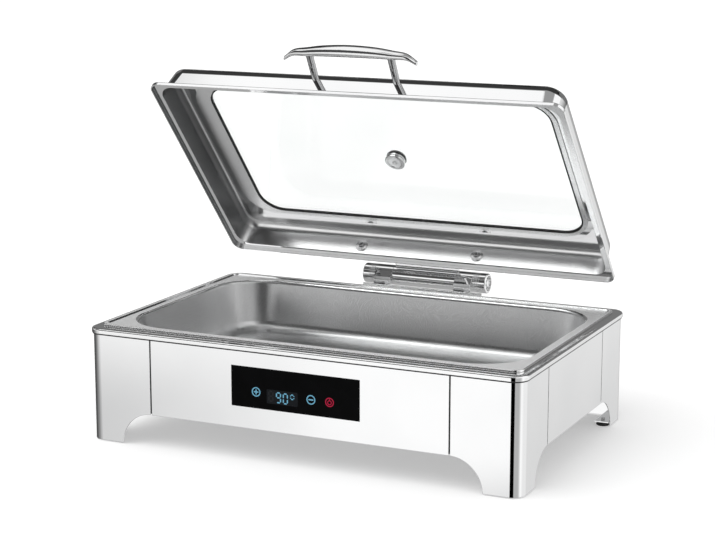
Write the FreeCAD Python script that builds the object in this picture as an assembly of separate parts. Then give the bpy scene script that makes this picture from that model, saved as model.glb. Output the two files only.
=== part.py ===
import FreeCAD, Part
import os
import math

# Electric chafing dish: a sheet-steel stand with four arched corner legs, a water pan with a heater
# clamped under it, a lift-out food pan, and a glass-windowed lid on a friction hinge at the back.
# Millimetres. X runs left to right, Y from the front to the back, Z up from the table.
# The lid is drawn closed and then turned up about its hinge axis to its rest angle.

# Rim and body
RIM_W = 557.0
RIM_D = 367.0
RIM_SKIRT = 6.0
RIM_CORNER = 18.0
RIM_EDGE = 2.6
RIM_SHEET = 1.2
RIM_CLEAR = 0.1
BODY_INSET = 2.2
SHEET = 1.2
PANEL_BOTTOM = 40.0
SEAM_GAP = 1.8
LIP = 14.0

# Legs
LEG_WIDTH = 84.8
LEG_BOTTOM = 1.2
FOOT_PLATE_T = 1.5
FOOT_R = 8.5
FOOT_H = 5.0
FOOT_IN_X = 11.0
FOOT_IN_Y = 40.0
FOOT_WELL_R = 3.6
FOOT_WELL_H = 2.6
FOOT_SCREW_R = 2.0
STRAP_W = 22.0
STRAP_T = 1.2

# Food pan, of the full-size gastronorm kind, 65 mm deep
PAN_BORDER_X = 9.5
PAN_BORDER_Y = 17.0
PAN_FLANGE = 16.5
PAN_CORNER = 10.0
PAN_MOUTH_R = 60.0
PAN_MOUTH_EDGE = 5.0
PAN_DEPTH = 65.0
PAN_DRAFT = 12.0
PAN_FILLET = 14.0
PAN_SHEET = 0.9
PAN_SEAT_GAP = 0.2
BEAD_W = 4.6
BEAD_H = 1.9
BEAD_EDGE = 1.2

# Water pan
WATER_CLEAR = 5.0
WATER_UNDER = 11.0
WATER_DRAFT = 6.0
WATER_FILLET = 12.0
WATER_LIP_GAP = 0.5
WATER_SHEET = 1.0

# Heater under the water pan
PLATE_W = 330.0
PLATE_D = 170.0
PLATE_T = 3.0
ELEMENT_R = 3.6
LOOP_HALF_W = 128.0
LOOP_HALF_D = 52.0
LOOP_BEND = 26.0
CLAMP_W = 14.0
CLAMP_T = 1.5
CLAMP_CLEAR = 0.5
STUD_R = 2.0
STUD_END = 0.5
NUT_R = 4.0
NUT_H = 2.5
SPACER_R = 3.5
PLATE_CORNER = 18.0
LOOP_TAIL_GAP = 16.0
LOOP_TAIL = 6.0
SHIELD_DOWN = 12.6
SHIELD_T = 0.8
SHIELD_CLEAR = 1.2
SHIELD_EDGE = 7.0
SHIELD_REACH = 8.0
PROBE_AWAY = 22.0

# Bottom cover
COVER_T = 1.0
COVER_CLEAR = 0.6
SLOT_L = 40.0
SLOT_W = 4.0
SLOT_PITCH = 14.0
SLOT_IN = 61.3
COVER_SCREW_X = 130.0
SMALL_SCREW_R = 1.5
SMALL_HEAD_R = 3.0
SMALL_HEAD_H = 1.4
SCREW_PAST = 3.0
HOLE_FIT = 0.05

# Touch display on the front
DISPLAY_W = 164.0
DISPLAY_H = 48.0
DISPLAY_UP = 49.8
GLASS_PROUD = 0.5
GLASS_CHAMFER = 0.4
DISPLAY_T = 2.6
DISPLAY_FIT = 0.15
FRAME_W = 8.0
BOARD_T = 1.6
BOARD_STAND = 4.0
DIGITS_X = -15.8
DIGITS_Z = 82.4
DIGITS_W = 40.0
DIGITS_H = 15.6
KEY_X = (-49.5, 21.1, 44.7)
KEY_Z = 84.4
KEY_R = 5.0
MODULE_GAP = 0.4
BOX_DEEP = 17.0
BOX_T = 1.8
GLASS_SEAT = 3.0
BOARD_FIT = 1.0
BOARD_SCREW_R = 1.1
BOARD_POST_R = 3.0
BOARD_POST_IN_X = 10.0
BOARD_POST_IN_Z = 7.0

# Power inlet at the back
INLET_IN = 51.5
INLET_UP = 38.0
INLET_W = 27.0
INLET_H = 20.0
INLET_DEEP = 20.0
INLET_EARS = 50.0
INLET_SCREWS = 40.0
INLET_FLANGE = 3.0
INLET_FLANGE_REACH = 2.0
INLET_MOUTH_W = 24.0
INLET_MOUTH_H = 16.5
INLET_MOUTH_CUT = 5.0
PIN_APART = 7.0
PIN_DOWN = 2.6
EARTH_UP = 1.4
PIN_BLADE_W = 2.0
PIN_BLADE_H = 4.0
PIN_TAIL = 6.0
POWER_Y = 128.0
POWER_W = 64.0
POWER_D = 36.0
STANDOFF_H = 6.0
STANDOFF_IN = 4.0
RELAY_H = 10.0
VENTS = 12
VENTS_IN = 56.5
VENT_PITCH = 8.0
VENT_SLOT_W = 3.0
VENT_SLOT_H = 26.0

# Hinge
PIVOT_AWAY = 18.5
PIVOT_UP = 12.5
BARREL_R = 13.0
PIN_R = 4.0
PIN_FIT = 0.05
PIN_SHORT = 1.2
KNUCKLE_HALF = 44.5
BARREL_HALF = 87.0
COLLAR_W = 9.0
CAP_W = 9.5
SIDE_GAP = 0.3
COLLAR_GROOVES = 3
GROOVE = 0.9
CAP_EDGE = 1.6
DISH_R = 9.8
DISH_DEEP = 3.0
BRACKET_T = 3.0
BRACKET_DROP = 55.0
BRACKET_HALF = 84.0
BRACKET_SCREW_X = 58.0
BRACKET_SCREW_R = 2.5
BRACKET_SCREW_UP = 10.0
BRACKET_SCREW_ROW = 22.0
RIM_AWAY = 1.1
SHOULDER_DOWN = 0.8
HINGE_SCREW_X = 81.0
HINGE_SCREW_Z = 16.0
LID_SCREW_R = 2.0
LID_HEAD_R = 4.0
LID_HEAD_H = 2.2
CAP_NUT_R = 4.0
CAP_NUT_H = 4.0
WASHER_R = 8.0
WASHER_T = 1.2
ARM_T = 3.5
LEAF_T = 2.5
LEAF_HALF = 92.0
LEAF_LOW = 9.0
LEAF_TOP = 30.0

# Lid, measured closed; heights from its lower edge
LID_IN_X = 1.0
LID_IN_Y = 3.5
LID_UP = 3.3
LID_CORNER = 13.0
LID_WALL_R0 = 20.0
LID_WALL_R1 = 24.0
LID_LIP = 4.0
LIP_EDGE = 1.5
LID_LEDGE = 8.0
LID_DRAFT = 2.5
LID_TOP = 40.5
LID_EDGE = 6.0
LID_SHEET = 1.2
LID_REST_ANGLE = 48.3
WINDOW_SIDE = 35.0
WINDOW_FRONT = 37.5
WINDOW_BACK = 49.5
WINDOW_R = 33.0
RECESS_REACH = 12.0
RECESS_DEEP = 5.0
PANE_T = 4.0
PANE_REACH = 8.0
GASKET_SHOW = 1.2
GASKET_DOWN = 0.2

# Vent in the window
VENT_X = 8.0
VENT_Y = -6.0
VENT_R = 13.0
VENT_HOLE_R = 6.0
VENT_BORE_R = 2.2
VENT_EDGE = 1.5
VENT_T = 2.6
VENT_NUT_T = 3.6
VENT_FIT = 0.2

# Lid handle
HANDLE_HALF = 86.0
HANDLE_OUT = 24.0
HANDLE_BOW = 5.5
HANDLE_RISE = 2.5
HANDLE_Z = 39.0
HANDLE_TURN = 0.86
TIP_BACK = 5.0
TIP_DROP = 2.5
BAR_H = 16.6
BAR_T = 11.8
BAR_END = 0.55
BAR_TIP = 0.36
POST_X = 53.0
POST_R = 4.3
POST_Z = 32.0
POST_SCREW_IN = 9.0
BAR_STEPS = 6
HANDLE_WASHER_R = 6.0

os.makedirs("parts", exist_ok=True)

V = FreeCAD.Vector
X_AXIS = V(1, 0, 0)
Y_AXIS = V(0, 1, 0)
Z_AXIS = V(0, 0, 1)

# Heights, from the bottom cover up: heat shield, plate, water pan, food pan and rim.
ARCH = PANEL_BOTTOM
COVER_Z = PANEL_BOTTOM + SHEET
SHIELD_Z = COVER_Z + COVER_T + SHIELD_CLEAR + STUD_END + NUT_H
PLATE_Z = SHIELD_Z + SHIELD_DOWN
WATER_FLOOR = PLATE_Z + PLATE_T + WATER_SHEET
RIM_TOP = WATER_FLOOR + WATER_UNDER + PAN_DEPTH
BODY_TOP = RIM_TOP - RIM_SHEET
DISPLAY_Z = PANEL_BOTTOM + DISPLAY_UP
INLET_Z = PANEL_BOTTOM + INLET_UP
BRACKET_LOW = RIM_TOP - BRACKET_DROP
PIVOT_Z = RIM_TOP + PIVOT_UP
LID_BASE = RIM_TOP + LID_UP

# Widths and depths, from the rim in.
BODY_W = RIM_W - 2 * BODY_INSET
BODY_D = RIM_D - 2 * BODY_INSET
BODY_R = RIM_CORNER - BODY_INSET
HALF_W = BODY_W / 2
HALF_D = BODY_D / 2
SEAM_X = HALF_W - LEG_WIDTH
SEAM_Y = HALF_D - LEG_WIDTH
PAN_W = RIM_W - 2 * PAN_BORDER_X
PAN_D = RIM_D - 2 * PAN_BORDER_Y
PAN_MOUTH_W = PAN_W - 2 * PAN_FLANGE
PAN_MOUTH_D = PAN_D - 2 * PAN_FLANGE
WATER_W = PAN_MOUTH_W + 2 * WATER_CLEAR
WATER_D = PAN_MOUTH_D + 2 * WATER_CLEAR
WATER_R = PAN_MOUTH_R + WATER_CLEAR
WATER_FLANGE = HALF_W - LIP - WATER_LIP_GAP - WATER_W / 2
LID_W = PAN_W - 2 * LID_IN_X
LID_D = PAN_D - 2 * LID_IN_Y
WINDOW_W = LID_W - 2 * WINDOW_SIDE
WINDOW_D = LID_D - WINDOW_FRONT - WINDOW_BACK
WINDOW_SHIFT = (WINDOW_FRONT - WINDOW_BACK) / 2
PIVOT_Y = RIM_D / 2 + PIVOT_AWAY
CAP_START = BARREL_HALF - CAP_W
COLLAR_START = CAP_START - COLLAR_W
SLOT_X = HALF_W - SLOT_IN
INLET_X = SEAM_X - INLET_IN
VENTS_X = VENTS_IN - SEAM_X

# The frame's origin is the middle of the part's floor outline, the open lid and the hinge included.
FRONT_Y = -RIM_D / 2
BACK_Y = PIVOT_Y + BARREL_R
MID_Y = (FRONT_Y + BACK_Y) / 2


def box(x0, x1, y0, y1, z0, z1):
    return Part.makeBox(x1 - x0, y1 - y0, z1 - z0, V(x0, y0, z0))


def tube_z(r, x, y, z0, z1):
    return Part.makeCylinder(r, z1 - z0, V(x, y, z0), Z_AXIS)


def tube_x(r, x0, x1, y, z):
    return Part.makeCylinder(r, x1 - x0, V(x0, y, z), X_AXIS)


def tube_y(r, x, y0, y1, z):
    return Part.makeCylinder(r, y1 - y0, V(x, y0, z), Y_AXIS)


def round_wire(w, d, r, z, yc=0.0, xc=0.0):
    """A rounded rectangle, w by d with corner radius r, flat at height z."""
    x = w / 2
    y = d / 2
    c = r * math.sqrt(0.5)
    edges = []
    in_x = x - r
    in_y = y - r
    corners = [(in_x, in_y, 0), (-in_x, in_y, 90), (-in_x, -in_y, 180), (in_x, -in_y, 270)]
    points = []
    for cx, cy, turn in corners:
        t = math.radians(turn)
        start = V(xc + cx + r * math.cos(t), yc + cy + r * math.sin(t), z)
        middle_x = xc + cx + c * (math.cos(t) - math.sin(t))
        middle_y = yc + cy + c * (math.sin(t) + math.cos(t))
        middle = V(middle_x, middle_y, z)
        end = V(xc + cx - r * math.sin(t), yc + cy + r * math.cos(t), z)
        points.append((start, middle, end))
    for i, (start, middle, end) in enumerate(points):
        edges.append(Part.Arc(start, middle, end).toShape())
        edges.append(Part.makeLine(end, points[(i + 1) % 4][0]))
    return Part.Wire(edges)


def round_plate(w, d, r, z0, z1, yc=0.0, xc=0.0):
    return Part.Face(round_wire(w, d, r, z0, yc, xc)).extrude(V(0, 0, z1 - z0))


def round_loft(w0, d0, r0, z0, w1, d1, r1, z1, yc=0.0):
    return Part.makeLoft([round_wire(w0, d0, r0, z0, yc), round_wire(w1, d1, r1, z1, yc)], True, True)


def flat_edges(shape, z, tol=0.01):
    """The edges of a shape that lie wholly at height z."""
    found = []
    for edge in shape.Edges:
        b = edge.BoundBox
        if abs(b.ZMin - z) < tol and abs(b.ZMax - z) < tol:
            found.append(edge)
    return found


def mouth_edges(shape, z, w, d):
    """The edges at height z that lie within a w by d rectangle."""
    found = []
    for edge in flat_edges(shape, z):
        b = edge.BoundBox
        if max(b.XMax, -b.XMin) < w / 2 and max(b.YMax, -b.YMin) < d / 2:
            found.append(edge)
    return found


def polygon_x(points, x0, x1):
    """A profile of (y, z) points, run along X."""
    corners = [V(x0, y, z) for y, z in points]
    corners.append(corners[0])
    return Part.Face(Part.makePolygon(corners)).extrude(V(x1 - x0, 0, 0))


def dome_screw(r, length, head_r, head_h, at, along):
    """A screw with a low domed head: the head stands above 'at', the shank runs along 'along'."""
    shank = Part.makeCylinder(r, length, at, along)
    head = Part.makeCone(head_r, head_r * 0.72, head_h, at, along * -1)
    recess = Part.makeCylinder(head_r * 0.42, head_h * 0.6, at + along * (-head_h), along)
    return shank.fuse(head).cut(recess).removeSplitter()


def small_screw(length, at, along):
    return dome_screw(SMALL_SCREW_R, length, SMALL_HEAD_R, SMALL_HEAD_H, at, along)


def group(shapes):
    return Part.makeCompound(shapes)


# Body panels and legs

def body_ring(z0, z1):
    """The whole wall of the body as one rounded ring of sheet."""
    outside = round_plate(BODY_W, BODY_D, BODY_R, z0, z1)
    inside = round_plate(BODY_W - 2 * SHEET, BODY_D - 2 * SHEET, BODY_R - SHEET, z0 - 1, z1 + 1)
    return outside.cut(inside)


def long_panel(side):
    """Front (side -1) or rear (side +1) panel, with lips turned in at its top and bottom."""
    half = SEAM_X - SEAM_GAP / 2
    y_out = side * HALF_D
    y_in = side * (HALF_D - SHEET)
    y_lip = side * (HALF_D - LIP)
    face = box(-half, half, min(y_out, y_in), max(y_out, y_in), PANEL_BOTTOM, BODY_TOP)
    lips = []
    for z in (PANEL_BOTTOM, BODY_TOP - SHEET):
        lips.append(box(-half, half, min(y_out, y_lip), max(y_out, y_lip), z, z + SHEET))
    return face.multiFuse(lips).removeSplitter()


def end_panel(side):
    """Left (side -1) or right (side +1) panel, with lips turned in at its top and bottom."""
    half = SEAM_Y - SEAM_GAP / 2
    x_out = side * HALF_W
    x_in = side * (HALF_W - SHEET)
    x_lip = side * (HALF_W - LIP)
    face = box(min(x_out, x_in), max(x_out, x_in), -half, half, PANEL_BOTTOM, BODY_TOP)
    lips = []
    for z in (PANEL_BOTTOM, BODY_TOP - SHEET):
        lips.append(box(min(x_out, x_lip), max(x_out, x_lip), -half, half, z, z + SHEET))
    return face.multiFuse(lips).removeSplitter()


def leg(sx, sy):
    """A corner leg: the rounded corner of the wall with a quarter arch cut from each of its two faces."""
    wall = body_ring(LEG_BOTTOM, BODY_TOP)
    g = SEAM_GAP / 2
    wall = wall.common(box(SEAM_X + g, HALF_W + 1, SEAM_Y + g, HALF_D + 1, -1, BODY_TOP + 1))
    wall = wall.cut(tube_y(ARCH, SEAM_X, HALF_D - BODY_R, HALF_D + 1, 0))
    wall = wall.cut(tube_x(ARCH, HALF_W - BODY_R, HALF_W + 1, SEAM_Y, 0))
    plate = round_plate(BODY_W - 2 * SHEET, BODY_D - 2 * SHEET, BODY_R - SHEET, FOOT_H, FOOT_H + FOOT_PLATE_T)
    plate_x = HALF_W - FOOT_IN_X - FOOT_R
    plate_y = HALF_D - FOOT_IN_Y - FOOT_R
    plate = plate.common(box(plate_x, HALF_W, plate_y, HALF_D, 0, PANEL_BOTTOM))
    solid = wall.fuse(plate).removeSplitter()
    hole = FOOT_SCREW_R + HOLE_FIT
    solid = solid.cut(tube_z(hole, HALF_W - FOOT_IN_X, HALF_D - FOOT_IN_Y, 0, PANEL_BOTTOM))
    if sx < 0:
        solid = solid.mirror(V(0, 0, 0), X_AXIS)
    if sy < 0:
        solid = solid.mirror(V(0, 0, 0), Y_AXIS)
    return solid


def foot_places():
    return [(sx * (HALF_W - FOOT_IN_X), sy * (HALF_D - FOOT_IN_Y)) for sx in (-1, 1) for sy in (-1, 1)]


def rubber_feet():
    """Four round rubber feet, each with a waist above its tread and a well for its screw."""
    feet = []
    for x, y in foot_places():
        pad = Part.makeCone(FOOT_R - 1.0, FOOT_R, 1.0, V(x, y, 0), Z_AXIS)
        pad = pad.fuse(Part.makeCone(FOOT_R, FOOT_R - 1.5, FOOT_H - 1.0, V(x, y, 1.0), Z_AXIS))
        pad = pad.cut(tube_z(FOOT_WELL_R, x, y, -1, FOOT_WELL_H))
        pad = pad.cut(tube_z(FOOT_SCREW_R + HOLE_FIT, x, y, 0, FOOT_H + 1))
        feet.append(pad.removeSplitter())
    return group(feet)


def foot_screws():
    length = FOOT_H + FOOT_PLATE_T
    head_r = FOOT_WELL_R - 0.4
    return group([dome_screw(FOOT_SCREW_R, length, head_r, 1.6, V(x, y, FOOT_WELL_H), Z_AXIS)
                  for x, y in foot_places()])


def seam_straps():
    """Eight straps welded behind the seams, bridging each panel and leg."""
    straps = []
    z0 = COVER_Z + COVER_T + COVER_CLEAR
    z1 = BODY_TOP - SHEET - COVER_CLEAR
    half = STRAP_W / 2
    for a in (-1, 1):
        for b in (-1, 1):
            x, y = a * SEAM_X, b * (HALF_D - SHEET)
            y0, y1 = sorted((y, y - b * STRAP_T))
            straps.append(box(x - half, x + half, y0, y1, z0, z1))
            x, y = b * (HALF_W - SHEET), a * SEAM_Y
            x0, x1 = sorted((x, x - b * STRAP_T))
            straps.append(box(x0, x1, y - half, y + half, z0, z1))
    return group(straps)


def top_rim():
    """The rim: a pressed frame with a rounded edge, a short skirt and the opening the pans hang in."""
    low = RIM_TOP - RIM_SKIRT
    s = RIM_SHEET
    frame = round_plate(RIM_W, RIM_D, RIM_CORNER, low, RIM_TOP)
    frame = frame.makeFillet(RIM_EDGE, flat_edges(frame, RIM_TOP))
    inner = round_plate(RIM_W - 2 * s, RIM_D - 2 * s, RIM_CORNER - s, low - 1, BODY_TOP)
    inner_edge = min(RIM_EDGE - s, BODY_INSET - s - RIM_CLEAR)
    inner = inner.makeFillet(inner_edge, flat_edges(inner, BODY_TOP))
    opening = round_plate(WATER_W, WATER_D, WATER_R, low - 1, RIM_TOP + 1)
    return frame.cut(inner).cut(opening)


def drawn_pan(w, d, r, top, depth, draft, fillet, sheet):
    """A deep-drawn pan without its flange: tapered walls and a rounded bottom edge."""
    floor = top - depth
    floor_w = w - 2 * draft
    floor_d = d - 2 * draft
    floor_r = r - draft * 0.8
    outer = round_loft(floor_w + 2 * sheet, floor_d + 2 * sheet, floor_r + sheet, floor - sheet,
                       w + 2 * sheet, d + 2 * sheet, r + sheet, top)
    inner = round_loft(floor_w, floor_d, floor_r, floor, w, d, r, top)
    outer = outer.makeFillet(fillet + sheet, flat_edges(outer, floor - sheet))
    inner = inner.makeFillet(fillet, flat_edges(inner, floor))
    return outer.cut(inner)


def water_pan():
    """Deep pan for the hot water, its flange welded under the rim, inside the panels' lips."""
    f = WATER_FLANGE
    s = WATER_SHEET
    depth = BODY_TOP - WATER_FLOOR
    shell = drawn_pan(WATER_W, WATER_D, WATER_R, BODY_TOP, depth, WATER_DRAFT, WATER_FILLET, s)
    flange = round_plate(WATER_W + 2 * f, WATER_D + 2 * f, WATER_R + f, BODY_TOP - s, BODY_TOP)
    flange = flange.cut(round_plate(WATER_W, WATER_D, WATER_R, BODY_TOP - 2 * s, BODY_TOP + 1))
    return shell.fuse(flange).removeSplitter()


def food_pan():
    """Food pan: flat flange with a raised bead round its edge, rounded mouth, tapered walls."""
    under = RIM_TOP + PAN_SEAT_GAP
    flat = under + PAN_SHEET
    shell = drawn_pan(PAN_MOUTH_W, PAN_MOUTH_D, PAN_MOUTH_R, flat, PAN_DEPTH,
                      PAN_DRAFT, PAN_FILLET, PAN_SHEET)
    flange = round_plate(PAN_W, PAN_D, PAN_CORNER, under, flat + BEAD_H)
    flange = flange.makeFillet(BEAD_EDGE, flat_edges(flange, flat + BEAD_H))
    well_w = PAN_W - 2 * BEAD_W
    well_d = PAN_D - 2 * BEAD_W
    well_r = PAN_CORNER - BEAD_W
    slope = BEAD_H * 0.75
    well = round_loft(well_w - 2 * slope, well_d - 2 * slope, well_r, flat,
                      well_w, well_d, well_r + slope, flat + BEAD_H)
    flange = flange.cut(well)
    flange = flange.cut(round_plate(PAN_MOUTH_W, PAN_MOUTH_D, PAN_MOUTH_R, under - 1, flat + 5))
    pan = shell.fuse(flange).removeSplitter()
    w = PAN_MOUTH_W + 4 * PAN_SHEET
    d = PAN_MOUTH_D + 4 * PAN_SHEET
    pan = pan.makeFillet(PAN_MOUTH_EDGE - PAN_SHEET, mouth_edges(pan, under, w, d))
    return pan.makeFillet(PAN_MOUTH_EDGE, mouth_edges(pan, flat, w, d))


# Heater and cover

def stud_places():
    """The heater's four studs: outside the element's long runs, clear of the straps' bends."""
    reach = LOOP_HALF_D + ELEMENT_R + CLAMP_T + NUT_R + CLAMP_CLEAR
    return [(sx * LOOP_HALF_W / 2, sy * reach) for sx in (-1, 1) for sy in (-1, 1)]


def heater_plate():
    """Aluminium spreader plate against the water pan's floor."""
    plate = round_plate(PLATE_W, PLATE_D, PLATE_CORNER, PLATE_Z, PLATE_Z + PLATE_T)
    for x, y in stud_places():
        plate = plate.cut(tube_z(STUD_R + HOLE_FIT, x, y, PLATE_Z - 1, PLATE_Z + PLATE_T + 1))
    return plate


def bend(cx, cy, r, turn, z):
    """A quarter bend about (cx, cy), from the angle 'turn' in degrees and 90 degrees on."""
    points = []
    for step in (0, 45, 90):
        t = math.radians(turn + step)
        points.append(V(cx + r * math.cos(t), cy + r * math.sin(t), z))
    return Part.Arc(*points).toShape()


def heating_element():
    """Tubular element: one open loop, both of its ends turned to the back, where the leads come off."""
    z = PLATE_Z - ELEMENT_R
    w = LOOP_HALF_W
    d = LOOP_HALF_D
    r = LOOP_BEND
    gap = LOOP_TAIL_GAP
    tail = d + r + LOOP_TAIL
    runs = [
        Part.makeLine(V(-gap, tail, z), V(-gap, d + r, z)),
        bend(-gap - r, d + r, r, 270, z),
        Part.makeLine(V(-gap - r, d, z), V(-w + r, d, z)),
        bend(-w + r, d - r, r, 90, z),
        Part.makeLine(V(-w, d - r, z), V(-w, -d + r, z)),
        bend(-w + r, -d + r, r, 180, z),
        Part.makeLine(V(-w + r, -d, z), V(w - r, -d, z)),
        bend(w - r, -d + r, r, 270, z),
        Part.makeLine(V(w, -d + r, z), V(w, d - r, z)),
        bend(w - r, d - r, r, 0, z),
        Part.makeLine(V(w - r, d, z), V(gap + r, d, z)),
        bend(gap + r, d + r, r, 180, z),
        Part.makeLine(V(gap, d + r, z), V(gap, tail, z)),
    ]
    path = Part.Wire(Part.__sortEdges__(runs))
    section = Part.Wire(Part.makeCircle(ELEMENT_R, V(-gap, tail, z), Y_AXIS))
    return path.makePipeShell([section], True, False)


def heater_clamps():
    """Four hat-shaped straps that press the element against its plate."""
    low = PLATE_Z - 2 * ELEMENT_R - HOLE_FIT
    clamps = []
    for x, y in stud_places():
        side = 1 if y > 0 else -1
        mid = side * LOOP_HALF_D
        reach = abs(y) - LOOP_HALF_D + NUT_R
        r = ELEMENT_R + HOLE_FIT
        top = PLATE_Z
        t = CLAMP_T
        hat = [(mid - reach, top), (mid - r, top), (mid - r, low), (mid + r, low), (mid + r, top),
               (mid + reach, top), (mid + reach, top - t), (mid + r + t, top - t), (mid + r + t, low - t),
               (mid - r - t, low - t), (mid - r - t, top - t), (mid - reach, top - t)]
        strap = polygon_x(hat, x - CLAMP_W / 2, x + CLAMP_W / 2)
        clamps.append(strap.cut(tube_z(STUD_R + HOLE_FIT, x, y, low - 2 * t, top + 1)))
    return group(clamps)


def hexagon(r, x, y, z0, z1):
    """A hexagonal bar, r from its middle to each flat."""
    reach = r / math.cos(math.radians(30))
    corners = []
    for k in range(7):
        t = math.radians(60 * k)
        corners.append(V(x + reach * math.cos(t), y + reach * math.sin(t), z0))
    return Part.Face(Part.makePolygon(corners)).extrude(V(0, 0, z1 - z0))


def heater_studs():
    """Four studs welded under the water pan."""
    top = PLATE_Z + PLATE_T
    low = SHIELD_Z - NUT_H - STUD_END
    return group([tube_z(STUD_R, x, y, low, top) for x, y in stud_places()])


def heater_spacers():
    """Four hexagonal spacers: they draw the straps up and carry the heat shield."""
    spacers = []
    for x, y in stud_places():
        body = hexagon(SPACER_R, x, y, SHIELD_Z + SHIELD_T, PLATE_Z - CLAMP_T)
        spacers.append(body.cut(tube_z(STUD_R + HOLE_FIT, x, y, SHIELD_Z, PLATE_Z)))
    return group(spacers)


def shield_nuts():
    nuts = []
    for x, y in stud_places():
        body = hexagon(SPACER_R, x, y, SHIELD_Z - NUT_H, SHIELD_Z)
        nuts.append(body.cut(tube_z(STUD_R + HOLE_FIT, x, y, SHIELD_Z - 2 * NUT_H, SHIELD_Z + 1)))
    return group(nuts)


def heat_shield():
    """Shallow tray under the heater, with upturned edges."""
    w = PLATE_W + 2 * SHIELD_REACH
    d = PLATE_D + 2 * SHIELD_REACH
    r = PLATE_CORNER + SHIELD_REACH
    t = SHIELD_T
    tray = round_plate(w, d, r, SHIELD_Z, SHIELD_Z + SHIELD_EDGE)
    tray = tray.cut(round_plate(w - 2 * t, d - 2 * t, r - t, SHIELD_Z + t, SHIELD_Z + 2 * SHIELD_EDGE))
    for x, y in stud_places():
        tray = tray.cut(tube_z(STUD_R + HOLE_FIT, x, y, SHIELD_Z - 1, SHIELD_Z + SHIELD_EDGE))
    return tray


def probe(x, y, r, h):
    """A round sensor held against the water pan's floor."""
    floor = PLATE_Z + PLATE_T
    body = tube_z(r, x, y, floor - h, floor)
    flange = tube_z(r + 2.0, x, y, floor - 1.2, floor)
    return body.fuse(flange).removeSplitter()


def thermal_cutout():
    """Overheat cut-out with its two terminals."""
    x = -PLATE_W / 2 - PROBE_AWAY
    body = probe(x, 0, 7.0, 9.0)
    floor = PLATE_Z + PLATE_T
    for side in (-1, 1):
        body = body.fuse(box(x - 0.4, x + 0.4, side * 4 - 2, side * 4 + 2, floor - 15, floor - 8.5))
    return body.removeSplitter()


def temperature_probe():
    return probe(PLATE_W / 2 + PROBE_AWAY, 0, 4.0, 12.0)


def cover_screw_places():
    y = HALF_D - LIP / 2
    x = HALF_W - LIP / 2
    places = [(sx * COVER_SCREW_X, sy * y) for sx in (-1, 1) for sy in (-1, 1)]
    return places + [(-x, 0), (x, 0)]


def bottom_cover():
    """Floor plate resting on the panels' lower lips, with two fields of cooling slots."""
    w = BODY_W - 2 * SHEET - 2 * COVER_CLEAR
    d = BODY_D - 2 * SHEET - 2 * COVER_CLEAR
    plate = round_plate(w, d, BODY_R - SHEET, COVER_Z, COVER_Z + COVER_T)
    for sx in (-1, 1):
        for k in range(-3, 4):
            y = k * SLOT_PITCH
            x = sx * SLOT_X
            slot = round_plate(SLOT_L, SLOT_W, SLOT_W * 0.49, COVER_Z - 1, COVER_Z + COVER_T + 1, y, x)
            plate = plate.cut(slot)
    for x, y in cover_screw_places():
        plate = plate.cut(tube_z(SMALL_SCREW_R + HOLE_FIT, x, y, COVER_Z - 1, COVER_Z + COVER_T + 1))
    return plate


def cover_screws():
    return group([small_screw(SHEET + COVER_T + SCREW_PAST, V(x, y, PANEL_BOTTOM), Z_AXIS)
                  for x, y in cover_screw_places()])


def drill_lip(panel):
    for x, y in cover_screw_places():
        panel = panel.cut(tube_z(SMALL_SCREW_R + HOLE_FIT, x, y, PANEL_BOTTOM - 1, COVER_Z + COVER_T))
    return panel


# Touch display

def display_box_size():
    return DISPLAY_W + 2 * FRAME_W, DISPLAY_H + 2 * FRAME_W


def front_panel():
    panel = drill_lip(long_panel(-1))
    half = DISPLAY_W / 2 + DISPLAY_FIT
    high = DISPLAY_H / 2 + DISPLAY_FIT
    window = box(-half, half, -HALF_D - 1, -HALF_D + SHEET + 0.5, DISPLAY_Z - high, DISPLAY_Z + high)
    return panel.cut(window)


def display_glass():
    """Flat black glass, a little proud of the front panel."""
    y = -HALF_D - GLASS_PROUD
    w = DISPLAY_W / 2
    h = DISPLAY_H / 2
    pane = box(-w, w, y, y + DISPLAY_T, DISPLAY_Z - h, DISPLAY_Z + h)
    front = []
    for edge in pane.Edges:
        b = edge.BoundBox
        if abs(b.YMax - y) < 0.01:
            front.append(edge)
    return pane.makeChamfer(GLASS_CHAMFER, front)


def board_place():
    """Front face of the control board."""
    return -HALF_D + SHEET + BOX_DEEP - BOX_T - BOARD_STAND - BOARD_T


def board_posts():
    x = DISPLAY_W / 2 - BOARD_POST_IN_X
    z = DISPLAY_H / 2 - BOARD_POST_IN_Z
    return [(sx * x, DISPLAY_Z + sz * z) for sx in (-1, 1) for sz in (-1, 1)]


def control_box():
    """Moulded box behind the display: a seat for the glass, posts for the board, ears on weld studs."""
    w, h = display_box_size()
    y0 = -HALF_D + SHEET
    y1 = y0 + BOX_DEEP
    body = box(-w / 2, w / 2, y0, y1, DISPLAY_Z - h / 2, DISPLAY_Z + h / 2)
    half = DISPLAY_W / 2 + DISPLAY_FIT
    high = DISPLAY_H / 2 + DISPLAY_FIT
    seat = -HALF_D - GLASS_PROUD + DISPLAY_T
    body = body.cut(box(-half, half, y0 - 1, seat, DISPLAY_Z - high, DISPLAY_Z + high))
    half = DISPLAY_W / 2 - GLASS_SEAT
    high = DISPLAY_H / 2 - GLASS_SEAT
    body = body.cut(box(-half, half, y0 - 1, y1 - BOX_T, DISPLAY_Z - high, DISPLAY_Z + high))
    for x, z in board_posts():
        body = body.fuse(tube_y(BOARD_POST_R, x, board_place() + BOARD_T, y1, z))
        body = body.cut(tube_y(BOARD_SCREW_R + HOLE_FIT, x, board_place(), y1 - BOX_T, z))
    for x, z in box_studs():
        body = body.cut(tube_y(SMALL_SCREW_R + HOLE_FIT, x, y0 - 1, y1 + 1, z))
    return body.removeSplitter()


def box_studs():
    w, h = display_box_size()
    x = w / 2 - FRAME_W / 2
    z = h / 2 - FRAME_W / 2
    return [(sx * x, DISPLAY_Z + sz * z) for sx in (-1, 1) for sz in (-1, 1)]


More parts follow.
